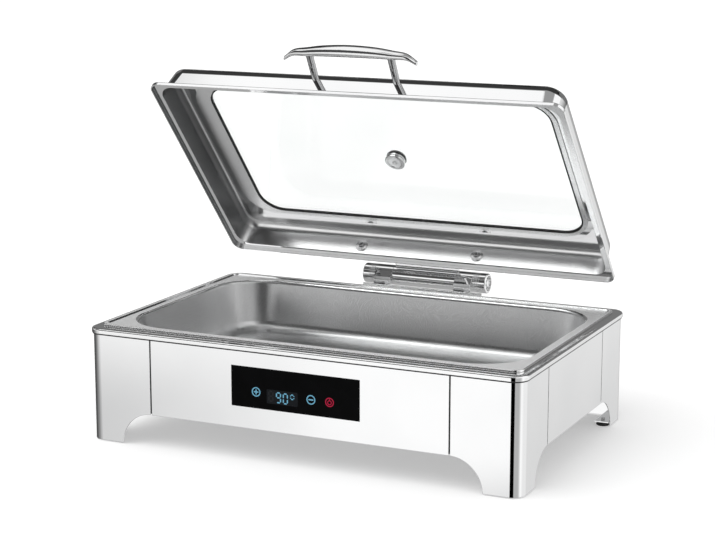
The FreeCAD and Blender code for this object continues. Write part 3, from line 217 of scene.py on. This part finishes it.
def drawn_walls(tree, place):
    """The lid as deep drawing leaves it, satin inside, with painted shade on the inner walls at the two sides.

    Gives a mask of all walls that face in, a mask of those at the two sides, which get painted shade, and what to
    add to the normal where a wall leans into the crown.
    """
    back = Matrix.Rotation(LID_OPEN, 3, "X")
    shut = add(tree, "ShaderNodeMapping", Rotation=(LID_OPEN, 0, 0), Location=HINGE_LINE - back @ HINGE_LINE)
    tree.links.new(place.outputs["Object"], shut.inputs["Vector"])
    facing = add(tree, "ShaderNodeMapping", vector_type="VECTOR", Rotation=(LID_OPEN, 0, 0))
    tree.links.new(place.outputs["Normal"], facing.inputs["Vector"])
    level = add(tree, "ShaderNodeVectorMath", operation="MULTIPLY_ADD")
    level.inputs[1].default_value = (1, 1, 0)
    level.inputs[2].default_value = (0, -BODY_MIDDLE, 0)
    tree.links.new(shut.outputs["Vector"], level.inputs[0])
    side = add(tree, "ShaderNodeVectorMath", operation="DOT_PRODUCT")
    tree.links.new(facing.outputs["Vector"], side.inputs[0])
    tree.links.new(level.outputs["Vector"], side.inputs[1])
    start, sure = WALL_FACING
    outer = smooth(tree, side.outputs["Value"], start, sure)
    inner = smooth(tree, side.outputs["Value"], -start, -sure)
    height = component(tree, shut.outputs["Vector"], "Z")
    leans = []
    for (low, high, most), face in ((OUTER_LEAN, outer), (INNER_LEAN, inner)):
        rise = add(tree, "ShaderNodeMapRange", From_Min=LID_FOOT + low, From_Max=LID_FOOT + high, To_Max=most)
        tree.links.new(height, rise.inputs["Value"])
        leans.append(product(tree, rise.outputs["Result"], face))
    lean = add(tree, "ShaderNodeMath", operation="ADD")
    tree.links.new(leans[0], lean.inputs[0])
    tree.links.new(leans[1], lean.inputs[1])
    crown = add(tree, "ShaderNodeVectorTransform", vector_type="VECTOR",
                convert_from="OBJECT", convert_to="WORLD", Vector=(0, math.sin(LID_OPEN), math.cos(LID_OPEN)))
    turned = add(tree, "ShaderNodeVectorMath", operation="SCALE")
    tree.links.new(crown.outputs["Vector"], turned.inputs[0])
    tree.links.new(lean.outputs[0], turned.inputs["Scale"])
    sideways = add(tree, "ShaderNodeMath", operation="ABSOLUTE")
    tree.links.new(component(tree, facing.outputs["Vector"], "X"), sideways.inputs[0])
    shaded_sides = product(tree, inner, smooth(tree, sideways.outputs[0], *SHADED_SIDE_FACING))
    return inner, shaded_sides, turned.outputs["Vector"]


def leaning_normal(tree, normal, turned):
    """A normal with the lean of the drawn walls added to it."""
    leaning = add(tree, "ShaderNodeVectorMath", operation="ADD")
    tree.links.new(normal, leaning.inputs[0])
    tree.links.new(turned, leaning.inputs[1])
    unit = add(tree, "ShaderNodeVectorMath", operation="NORMALIZE")
    tree.links.new(leaning.outputs["Vector"], unit.inputs[0])
    return unit.outputs["Vector"]


def bright_flange(tree, place, colour, polish, tone, rough):
    """A pan's flange: polished all over, with the level part brushed, so that it isn't all mirror."""
    height = component(tree, place.outputs["Object"], "Z")
    above = smooth(tree, height, FLANGE_FOOT, FLANGE_FOOT + FLANGE_FADE)
    colour, polish = second_finish(tree, above, colour, polish, tone, FLANGE_POLISH)
    up = component(tree, place.outputs["Normal"], "Z")
    level = product(tree, above, smooth(tree, up, *LEVEL_FACING))
    colour, polish = second_finish(tree, level, colour, polish, LEVEL_TONE, rough)
    brushed = add(tree, "ShaderNodeMapRange", To_Min=1.0, To_Max=LEVEL_METAL)
    tree.links.new(level, brushed.inputs["Value"])
    return colour, polish, brushed.outputs["Result"]


def steel(name, tone, rough, streak=(1.0, 1.0, 1.0), grain=900.0, depth=0.02, waves=0.0,
          flange=None, drawn=None):
    """Sheet steel: a faint cloudiness in its tone, a fine rolled or polished grain, slow waves and eased edges.

    A pan's flange is brighter than its inside: the flange's tone, and the roughness of its level part.
    A drawn lid's walls are satin inside: the painted shade tone of the inner walls at the sides, and the roughness
    of all.
    """
    mat, tree, shader = fresh(name)
    place = add(tree, "ShaderNodeTexCoord")
    stretch = add(tree, "ShaderNodeMapping", Scale=streak)
    tree.links.new(place.outputs["Object"], stretch.inputs["Vector"])
    cloud = noise(tree, place.outputs["Object"], *CLOUDS)
    fine = noise(tree, stretch.outputs["Vector"], grain)
    colour = stops(tree, cloud, grey(tone - 0.03, 0.004), grey(tone + 0.02, 0.002))
    polish = span(tree, fine, rough * 0.8, rough * 1.25)
    shader.inputs["Metallic"].default_value = 1.0
    if flange:
        colour, polish, metal = bright_flange(tree, place, colour, polish, *flange)
        tree.links.new(metal, shader.inputs["Metallic"])
    eased = add(tree, "ShaderNodeBevel", samples=6, Radius=EDGE_RADIUS)
    normal = eased.outputs["Normal"]
    if drawn:
        shade_tone, satin = drawn
        inside, shaded_sides, turned = drawn_walls(tree, place)
        colour, polish = second_finish(tree, inside, colour, polish, tone, satin)
        # Painted shade: the lid's inner side walls are given a darker tone.
        colour, polish = second_finish(tree, shaded_sides, colour, polish, shade_tone, satin)
        normal = leaning_normal(tree, normal, turned)
    if waves:
        sheet = relief(tree, noise(tree, place.outputs["Object"], *WAVES), waves, WAVE_HEIGHT)
        tree.links.new(normal, sheet.inputs["Normal"])
        normal = sheet.outputs["Normal"]
    rolled = relief(tree, fine, depth, GRAIN_HEIGHT)
    tree.links.new(normal, rolled.inputs["Normal"])
    tree.links.new(colour, shader.inputs["Base Color"])
    tree.links.new(polish, shader.inputs["Roughness"])
    tree.links.new(rolled.outputs["Normal"], shader.inputs["Normal"])
    return mat


def plastic(name, colour, rough):
    """Moulded plastic or rubber: a fine spark-eroded texture and slight changes of tone."""
    mat, tree, shader = fresh(name)
    place = add(tree, "ShaderNodeTexCoord")
    fine = noise(tree, place.outputs["Object"], SPARKS)
    cloud = noise(tree, place.outputs["Object"], PLASTIC_CLOUDS)
    low = tuple(c * 0.8 for c in colour) + (1.0,)
    high = tuple(c * 1.2 + 0.002 for c in colour) + (1.0,)
    tree.links.new(stops(tree, cloud, low, high), shader.inputs["Base Color"])
    tree.links.new(span(tree, fine, rough * 0.85, rough * 1.15), shader.inputs["Roughness"])
    bump = relief(tree, fine, SPARK_STRENGTH, SPARK_HEIGHT)
    tree.links.new(bump.outputs["Normal"], shader.inputs["Normal"])
    return mat


def clear_pane(name):
    """Toughened glass: clear, with a trace of green held in its thickness and faint wipe marks."""
    mat, tree, shader = fresh(name)
    place = add(tree, "ShaderNodeTexCoord")
    smear = noise(tree, place.outputs["Object"], 12.0, 4.0)
    tint = stops(tree, smear, (0.95, 0.965, 0.96, 1), (0.97, 0.98, 0.975, 1))
    tree.links.new(tint, shader.inputs["Base Color"])
    tree.links.new(span(tree, smear, 0.0, 0.02), shader.inputs["Roughness"])
    shader.inputs["Transmission Weight"].default_value = 1.0
    shader.inputs["IOR"].default_value = 1.45
    return mat


def black_pane(name):
    """The display's black printed glass, glossy, with a faint mottle of dust."""
    mat, tree, shader = fresh(name)
    place = add(tree, "ShaderNodeTexCoord")
    dust = noise(tree, place.outputs["Object"], 60.0, 4.0)
    tones = stops(tree, dust, (0.0005, 0.0005, 0.0006, 1), (0.0014, 0.0014, 0.0016, 1))
    tree.links.new(tones, shader.inputs["Base Color"])
    tree.links.new(span(tree, dust, 0.04, 0.08), shader.inputs["Roughness"])
    shader.inputs["Specular IOR Level"].default_value = 0.04
    return mat


def circuit(name):
    """A green lacquered board with a faint pattern of tracks under the lacquer."""
    mat, tree, shader = fresh(name)
    place = add(tree, "ShaderNodeTexCoord")
    tracks = add(tree, "ShaderNodeTexVoronoi", distance="CHEBYCHEV", Scale=160.0)
    tree.links.new(place.outputs["Object"], tracks.inputs["Vector"])
    tones = stops(tree, tracks.outputs["Distance"], (0.03, 0.16, 0.06, 1), (0.01, 0.08, 0.03, 1), (0.1, 0.5))
    tree.links.new(tones, shader.inputs["Base Color"])
    tree.links.new(span(tree, tracks.outputs["Distance"], 0.25, 0.4), shader.inputs["Roughness"])
    return mat


def lamp_mark(name, colour):
    """A mark lit from behind: even light with a slight mottle. The unlit bars use it too, for a faint painted
    glow.
    """
    mat, tree, shader = fresh(name)
    place = add(tree, "ShaderNodeTexCoord")
    mottle = noise(tree, place.outputs["Object"], 900.0)
    low = tuple(c * 0.85 for c in colour) + (1.0,)
    shader.inputs["Base Color"].default_value = (0.01, 0.01, 0.01, 1)
    shader.inputs["Roughness"].default_value = 0.3
    shader.inputs["Specular IOR Level"].default_value = 0.04
    tree.links.new(stops(tree, mottle, low, colour + (1.0,)), shader.inputs["Emission Color"])
    shader.inputs["Emission Strength"].default_value = 1.0
    return mat


def dress(names, mat):
    for name in names:
        slots = nodes[name].material_slots
        for slot in slots:
            slot.material = mat
        if not slots:
            nodes[name].data.materials.append(mat)


def dress_nodes():
    """Each node gets the finish that its real piece has, except the handle posts, painted dark as a reflection,
    and the seam straps, painted dark as shade.
    """
    polished = steel("polished sheet steel", 0.97, 0.05, waves=0.015)
    pressed = steel("pressed pan steel", 0.70, 0.30, streak=(1.0, 8.0, 1.0), flange=(0.96, 0.42))
    # Inside the lid, the side walls get a painted shade tone of 0.20, and all inner walls a satin roughness of
    # 0.28.
    lid = steel("polished lid steel", 0.96, 0.05, waves=0.015, drawn=(0.20, 0.28))
    handle = steel("polished handle steel", 0.90, 0.04)
    # Painted reflection: the posts are the same polished steel as the bar, given a darker tone to stand in for the
    # dark reflections they show.
    shaded_post = steel("polished post steel with painted dark reflection", 0.50, 0.05)
    hinge = steel("polished hinge steel", 0.93, 0.03, grain=1500.0)
    washer = steel("turned washer steel", 0.80, 0.14, grain=1500.0)
    screw = steel("dark screw steel", 0.38, 0.20, grain=1500.0)
    zinc = steel("zinc-plated fixings", 0.72, 0.25, grain=1800.0, depth=0.05)
    galvanised = steel("plain inner steel", 0.55, 0.32, depth=0.06)
    aluminium = steel("aluminium heater plate", 0.70, 0.35, streak=(1.0, 14.0, 1.0), depth=0.08)
    element = steel("heated element sheath", 0.28, 0.42, depth=0.12)
    # Painted shade: the straps behind the seam gaps get a near-black tone so that the gaps read dark.
    shaded = steel("strap steel painted dark as seam shade", 0.06, 0.5, depth=0.06)
    brass = steel("brass", 0.6, 0.22)
    dress(["front_panel", "rear_panel", "left_panel", "right_panel", "leg_front_left", "leg_front_right",
           "leg_rear_left", "leg_rear_right", "top_rim"], polished)
    dress(["food_pan", "water_pan"], pressed)
    dress(["lid_shell"], lid)
    dress(["handle_bar"], handle)
    dress(["handle_posts"], shaded_post)
    dress(["hinge_leaf", "hinge_bracket", "hinge_pin", "hinge_collars", "hinge_end_caps"], hinge)
    dress(["vent_cap", "handle_washers", "hinge_lid_washers"], washer)
    dress(["hinge_lid_nuts", "hinge_lid_screws", "bracket_screws"], screw)
    dress(["handle_screws", "vent_nut", "cover_screws", "foot_screws", "inlet_screws", "box_stud_nuts",
           "board_screws", "shield_nuts", "heater_studs", "board_standoffs", "heater_spacers"], zinc)
    dress(["heat_shield", "heater_clamps", "bottom_cover", "thermal_cutout"], galvanised)
    dress(["seam_straps"], shaded)
    dress(["heater_plate"], aluminium)
    dress(["heating_element", "temperature_probe"], element)
    dress(["inlet_pins"], brass)
    dress(["lid_glass"], clear_pane("clear lid glass"))
    dress(["display_glass"], black_pane("black display glass"))
    dress(["rubber_feet", "glass_gasket"], plastic("black rubber", (0.02, 0.02, 0.02), 0.6))
    dress(["power_inlet", "control_box"], plastic("black moulded plastic", (0.018, 0.018, 0.019), 0.4))
    dress(["control_board", "power_board"], circuit("lacquered circuit board"))


# Drawn pieces

def outline(made, low, high, corner, segments=8):
    """The edge of a rounded rectangle between two corners, flat on XY."""
    before = set(made.edges)
    sheet = bmesh.ops.create_grid(made, x_segments=1, y_segments=1, size=0.5)["verts"]
    bmesh.ops.scale(made, verts=sheet, vec=(high[0] - low[0], high[1] - low[1], 1))
    bmesh.ops.translate(made, verts=sheet, vec=((low[0] + high[0]) / 2, (low[1] + high[1]) / 2, 0))
    bmesh.ops.bevel(made, geom=sheet, offset=corner, offset_type="OFFSET", segments=segments, profile=0.5,
                    affect="VERTICES", material=-1)
    return [edge for edge in made.edges if edge not in before]


def grown(shape, by):
    """A rounded rectangle, given as its low corner, high corner and corner radius, made larger all round."""
    low, high, corner = shape
    return tuple(v - by for v in low), tuple(v + by for v in high), corner + by


def ring(made, outer, inner):
    """A flat ring between two rounded rectangles."""
    edges = outline(made, *outer) + outline(made, *inner)
    bmesh.ops.delete(made, geom=list(made.faces), context="FACES_ONLY")
    bmesh.ops.bridge_loops(made, edges=edges)


def thicken(made, rise):
    """Gives flat shapes their thickness, upwards."""
    raised = bmesh.ops.extrude_face_region(made, geom=list(made.faces))
    top = [item for item in raised["geom"] if isinstance(item, bmesh.types.BMVert)]
    bmesh.ops.translate(made, verts=top, vec=(0, 0, rise))
    bmesh.ops.recalc_face_normals(made, faces=list(made.faces))


def piece(made, name, mat, body, place):
    """Puts a shape in its place, and lets it ride on a body."""
    bmesh.ops.transform(made, matrix=place, verts=list(made.verts))
    mesh = bpy.data.meshes.new(name)
    made.to_mesh(mesh)
    made.free()
    mesh.materials.append(mat)
    obj = bpy.data.objects.new(name, mesh)
    bpy.context.scene.collection.objects.link(obj)
    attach(obj, body)
    return obj


# The lower edge of the rim's skirt, and the black strip under it, a painted shadow line for the gap there, which
# stands a little out and in of that edge.
SKIRT = (-0.2763, -0.1813), (0.2763, 0.1813), 0.0158
SHADE_STRIP_OUT = 0.0014
SHADE_STRIP_IN = 0.0002
SHADE_STRIP_HEIGHT = 0.0016


def rim_shade_strip(rubber_and_shade):
    """A black strip under the rim's skirt, a painted shadow line for the gap between the rim and the panels."""
    made = bmesh.new()
    ring(made, grown(SKIRT, SHADE_STRIP_OUT), grown(SKIRT, -SHADE_STRIP_IN))
    thicken(made, SHADE_STRIP_HEIGHT)
    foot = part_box("top_rim")[0][2] - SHADE_STRIP_HEIGHT
    piece(made, "rim_shade_strip", rubber_and_shade, "base", Matrix.Translation((0, BODY_MIDDLE, foot)))


def open_lid(height):
    """Where a shape drawn level, at a height above the closed lid's foot, stands at rest."""
    turn = Matrix.Rotation(-LID_OPEN, 4, "X")
    closed = Matrix.Translation((0, BODY_MIDDLE, LID_FOOT + height))
    return Matrix.Translation(HINGE_LINE) @ turn @ Matrix.Translation(-HINGE_LINE) @ closed


# The window's retaining frame: its outer edge, its opening, its underside above the lid's foot and its thickness.
RETAINER = (-0.239, -0.1315), (0.239, 0.1195), 0.039
OPENING = (-0.2175, -0.1256), (0.2331, 0.1136), 0.0305
RETAINER_FOOT = 0.0332
RETAINER_THICK = 0.0010

# The black lip in its opening: the play round it, its width, its underside above the lid's foot and its height.
LIP_PLAY = 0.0003
LIP_WIDTH = 0.0018
LIP_FOOT = 0.0334
LIP_HEIGHT = 0.0029


def window_retainer(satin, rubber_and_shade):
    """The thin frame that holds the pane from below, wider on the left, and its black lip."""
    made = bmesh.new()
    ring(made, RETAINER, OPENING)
    thicken(made, RETAINER_THICK)
    piece(made, "window_retainer", satin, "lid", open_lid(RETAINER_FOOT))
    made = bmesh.new()
    ring(made, grown(OPENING, -LIP_PLAY), grown(OPENING, -LIP_PLAY - LIP_WIDTH))
    thicken(made, LIP_HEIGHT)
    piece(made, "pane_lip", rubber_and_shade, "lid", open_lid(LIP_FOOT))


# The vent's middle and its underside above the lid's foot, and its turned profile: reach and height.
VENT_X = 0.008
VENT_Y = -0.006
VENT_FOOT = 0.0298
VENT_PROFILE = [
    (0.0, 0.0002), (0.0017, 0.0002), (0.0022, 0.0007), (0.0034, 0.0010), (0.0088, 0.0008), (0.0094, 0.0002),
    (0.0118, 0.0), (0.0126, 0.0005), (0.0128, 0.0012), (0.0128, 0.0026), (0.0123, 0.0032), (0.0104, 0.0034),
    (0.0102, 0.0046), (0.0116, 0.0050), (0.0118, 0.0056), (0.0118, 0.0066), (0.0, 0.0066),
]


def vent_disc(turned):
    """The vent's turned disc under the pane: a stepped face, a neck and a flange against the glass."""
    made = bmesh.new()
    points = [made.verts.new((VENT_X + reach, VENT_Y, up)) for reach, up in VENT_PROFILE]
    lines = [made.edges.new(pair) for pair in zip(points, points[1:])]
    bmesh.ops.spin(made, geom=points + lines, cent=(VENT_X, VENT_Y, 0), axis=(0, 0, 1), angle=math.tau, steps=56,
                   use_merge=True)
    bmesh.ops.remove_doubles(made, verts=list(made.verts), dist=0.00002)
    bmesh.ops.recalc_face_normals(made, faces=list(made.faces))
    disc = piece(made, "vent_disc", turned, "lid", open_lid(VENT_FOOT))
    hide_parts("vent_nut")


def bar(made, x, z, wide, tall):
    sheet = bmesh.ops.create_grid(made, x_segments=1, y_segments=1, size=0.5)["verts"]
    bmesh.ops.scale(made, verts=sheet, vec=(wide, tall, 1))
    bmesh.ops.translate(made, verts=sheet, vec=(x, z, 0))
    bmesh.ops.bevel(made, geom=sheet, offset=min(wide, tall) * 0.4, offset_type="OFFSET", segments=2, profile=0.5,
                    affect="VERTICES", material=-1)


def circle(made, x, z, radius, stroke):
    edge = bmesh.ops.create_circle(made, cap_ends=True, segments=40, radius=radius,
                                   matrix=Matrix.Translation((x, z, 0)))["verts"]
    disc = edge[0].link_faces[0]
    bmesh.ops.inset_region(made, faces=[disc], thickness=stroke, use_boundary=True, use_even_offset=True)
    bmesh.ops.delete(made, geom=[disc], context="FACES")


# The seven bars of a digit: across and up, in half widths and half heights, and whether it lies flat.
BARS = {"top": (0, 1, True), "middle": (0, 0, True), "bottom": (0, -1, True),
        "upper left": (-1, 0.5, False), "upper right": (1, 0.5, False),
        "lower left": (-1, -0.5, False), "lower right": (1, -0.5, False)}
EIGHT = list(BARS)
NINE = [name for name in BARS if name != "lower left"]
NOUGHT = [name for name in BARS if name != "middle"]


def digit(made, x, z, lit, half=(0.0026, 0.0058), stroke=0.0015):
    for name in lit:
        across, up, flat = BARS[name]
        size = (half[0] * 2 - stroke, stroke) if flat else (stroke, half[1] - stroke)
        bar(made, x + across * half[0], z + up * half[1], *size)


# How far the marks stand off the display's glass, and how thick the dim window and the marks are.
MARK_GAP = 0.00003
WINDOW_THICK = 0.00006
MARK_THICK = 0.00014

# The shapes of each mark, x and z on the display first, and then their sizes.
DIGIT_WINDOW = [(outline, (-0.0357, 0.0735), (0.0042, 0.0902), 0.0012, 3)]
UNLIT_DIGIT = [(digit, -0.0302, 0.0824, EIGHT)]
LIT_DIGITS = [(digit, -0.0204, 0.0816, NINE),
              (digit, -0.0116, 0.0813, NOUGHT),
              (digit, -0.0028, 0.0843, NOUGHT, (0.0021, 0.0026), 0.0013)]
PLUS_MARK = [(circle, -0.0495, 0.0853, 0.0056, 0.0012),
             (bar, -0.0495, 0.0853, 0.0062, 0.0014),
             (bar, -0.0495, 0.0853, 0.0014, 0.0062)]
MINUS_MARK = [(circle, 0.0211, 0.0841, 0.0056, 0.0012),
              (bar, 0.0211, 0.0841, 0.0066, 0.0015)]
POWER_MARK = [(circle, 0.0447, 0.0839, 0.0055, 0.0012),
              (circle, 0.0447, 0.0834, 0.0028, 0.0010),
              (bar, 0.0447, 0.0866, 0.0012, 0.0024)]


def display_marks():
    """The touch display's own marks: plus, digits, minus and the power ring."""
    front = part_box("display_glass")[0][1]
    stand = Matrix.Translation((0, front - MARK_GAP, 0)) @ Matrix.Rotation(math.radians(90), 4, "X")
    blue = lamp_mark("pale blue display light", (0.16, 0.42, 0.58))
    red = lamp_mark("crimson display light", (0.42, 0.010, 0.045))
    # Painted light: the unlit bars glow faintly, standing in for room light on them.
    faint = lamp_mark("unlit display bars with painted glow", (0.013, 0.014, 0.016))
    window = lamp_mark("display window glow", (0.0016, 0.0028, 0.0045))
    for name, shapes, light, thick in (("digit_window", DIGIT_WINDOW, window, WINDOW_THICK),
                                       ("unlit_digit", UNLIT_DIGIT, faint, MARK_THICK),
                                       ("lit_digits", LIT_DIGITS, blue, MARK_THICK),
                                       ("plus_mark", PLUS_MARK, blue, MARK_THICK),
                                       ("minus_mark", MINUS_MARK, blue, MARK_THICK),
                                       ("power_mark", POWER_MARK, red, MARK_THICK)):
        made = bmesh.new()
        for draw, *sizes in shapes:
            draw(made, *sizes)
        thicken(made, thick)
        piece(made, name, light, "base", stand)


def drawn_pieces():
    # Black rubber for the pane's lip, and also a painted shadow line under the rim.
    rubber_and_shade = plastic("black rubber and painted shade line", (0.010, 0.010, 0.010), 0.55)
    satin = steel("satin retainer steel", 0.95, 0.22)
    # The black strip under the rim is painted shade for its shadow gap.
    rim_shade_strip(rubber_and_shade)
    window_retainer(satin, rubber_and_shade)
    vent_disc(steel("turned vent steel", 0.85, 0.12, grain=1500.0))
    display_marks()


# Studio

# The floor's half side, tone and roughness, and how much light of its own lifts it for the eye.
FLOOR_HALF = 14.0
FLOOR_TONE = (0.80, 0.80, 0.80, 1)
FLOOR_ROUGH = 0.9
FLOOR_LIFT = 0.36


def floor():
    """A plain pale floor, lifted to white for the eye, straight or through the pane. It keeps the soft shadow.

    Polished steel mirrors the studio there instead.
    """
    mesh = bpy.data.meshes.new("studio_floor")
    made = bmesh.new()
    bmesh.ops.create_grid(made, x_segments=2, y_segments=2, size=FLOOR_HALF)
    made.to_mesh(mesh)
    made.free()
    obj = bpy.data.objects.new("studio_floor", mesh)
    bpy.context.scene.collection.objects.link(obj)
    mat, tree, shader = fresh("pale studio floor")
    shader.inputs["Base Color"].default_value = FLOOR_TONE
    shader.inputs["Roughness"].default_value = FLOOR_ROUGH
    shader.inputs["Specular IOR Level"].default_value = 0.0
    rays = add(tree, "ShaderNodeLightPath")
    seen = add(tree, "ShaderNodeMath", operation="MAXIMUM")
    tree.links.new(rays.outputs["Is Camera Ray"], seen.inputs[0])
    tree.links.new(rays.outputs["Is Transmission Ray"], seen.inputs[1])
    lift = add(tree, "ShaderNodeMath", operation="MULTIPLY")
    lift.inputs[1].default_value = FLOOR_LIFT
    tree.links.new(seen.outputs[0], lift.inputs[0])
    shader.inputs["Emission Color"].default_value = (1, 1, 1, 1)
    tree.links.new(lift.outputs[0], shader.inputs["Emission Strength"])
    mesh.materials.append(mat)
    obj.visible_glossy = False


def dark_field(tree, way, azimuth, wide, soft, low, high, fade, depth):
    """A dark field of the studio round one azimuth, between two heights (the sine of each), 1 where it isn't."""
    flat = add(tree, "ShaderNodeVectorMath", operation="MULTIPLY")
    flat.inputs[1].default_value = (1, 1, 0)
    tree.links.new(way, flat.inputs[0])
    level = add(tree, "ShaderNodeVectorMath", operation="NORMALIZE")
    tree.links.new(flat.outputs["Vector"], level.inputs[0])
    near = add(tree, "ShaderNodeVectorMath", operation="DOT_PRODUCT")
    near.inputs[1].default_value = (math.cos(math.radians(azimuth)), math.sin(math.radians(azimuth)), 0)
    tree.links.new(level.outputs["Vector"], near.inputs[0])
    across = smooth(tree, near.outputs["Value"], math.cos(math.radians(wide + soft)), math.cos(math.radians(wide)))
    height = component(tree, way, "Z")
    upright = product(tree, smooth(tree, height, low - fade, low), smooth(tree, height, high + fade, high))
    return dimmed(tree, product(tree, across, upright), depth)


# Azimuth, half width, softness, lowest and highest sine of the height, its fade, and depth.
FIELDS = [
    (-76, 14, 3, -0.9, 0.15, 0.3, 1.0),
    (-45, 12, 30, -0.9, 0.15, 0.3, 0.55),
    (150, 10, 85, -0.6, -0.05, 0.12, 0.92),
    (115, 50, 20, 0.42, 0.82, 0.05, 0.96),
    (115, 40, 40, -0.03, 0.44, 0.04, 0.82),
    (-115, 50, 15, 0.225, 0.72, 0.025, 0.93),
    (-140, 12, 14, -0.75, -0.27, 0.055, 0.40),
    (-115, 30, 20, -0.75, -0.34, 0.05, 0.42),
    (65, 40, 30, -0.75, -0.30, 0.12, 0.18),
    (15, 128, 14, 0.86, 1.0, 0.05, 0.68),
]

# The dark straight below: the sines of the height at which it starts and is full, and its depth.
NADIR_FROM = -0.60
NADIR_FULL = -0.80
NADIR_DEPTH = 0.62

# How bright the studio's light is where it only falls on rough surfaces.
FILL = 0.60

# The overhead light: its strength, how wide it looks, and the way it shines.
SILK_ENERGY = 1.3
SILK_WIDTH = math.radians(60.0)
SILK_WAY = Vector((0.42, 0.38, -0.82))


def backdrop(tree, strength):
    return add(tree, "ShaderNodeBackground", Color=(1, 1, 1, 1), Strength=strength)


def studio_world():
    """White all round, with soft darker fields that draw the edges of polished steel."""
    world = bpy.data.worlds.new("studio")
    world.use_nodes = True
    tree = world.node_tree
    tree.nodes.clear()
    out = tree.nodes.new("ShaderNodeOutputWorld")
    way = add(tree, "ShaderNodeTexCoord").outputs["Generated"]
    under = smooth(tree, component(tree, way, "Z"), NADIR_FROM, NADIR_FULL)
    light = dimmed(tree, under, NADIR_DEPTH)
    for field in FIELDS:
        light = product(tree, light, dark_field(tree, way, *field))
    mirror = backdrop(tree, 1.0)
    tree.links.new(light, mirror.inputs["Color"])
    white = backdrop(tree, 1.0)
    # What the steel shows through the glass is the same studio that it shows without it.
    rays = add(tree, "ShaderNodeLightPath")
    bounced = add(tree, "ShaderNodeMath", operation="MINIMUM")
    bounced.inputs[1].default_value = 1.0
    tree.links.new(rays.outputs["Glossy Depth"], bounced.inputs[0])
    through = product(tree, rays.outputs["Is Transmission Ray"], bounced.outputs[0])
    last = backdrop(tree, FILL)
    for ray, background in ((rays.outputs["Is Glossy Ray"], mirror), (rays.outputs["Is Transmission Ray"], white),
                            (through, mirror), (rays.outputs["Is Camera Ray"], white)):
        choose = tree.nodes.new("ShaderNodeMixShader")
        tree.links.new(ray, choose.inputs["Fac"])
        tree.links.new(last.outputs[0], choose.inputs[1])
        tree.links.new(background.outputs[0], choose.inputs[2])
        last = choose
    tree.links.new(last.outputs[0], out.inputs["Surface"])
    bpy.context.scene.world = world


def studio_light():
    """One very wide light from above, the front and the left, as even as an overhead silk."""
    data = bpy.data.lights.new("overhead silk", "SUN")
    data.energy = SILK_ENERGY
    data.angle = SILK_WIDTH
    lamp = bpy.data.objects.new("overhead silk", data)
    bpy.context.scene.collection.objects.link(lamp)
    lamp.rotation_euler = SILK_WAY.to_track_quat("-Z", "Y").to_euler()
    lamp.visible_glossy = False


set_camera()
dress_nodes()
drawn_pieces()
floor()
studio_world()
studio_light()
bpy.context.scene.view_settings.view_transform = "Standard"
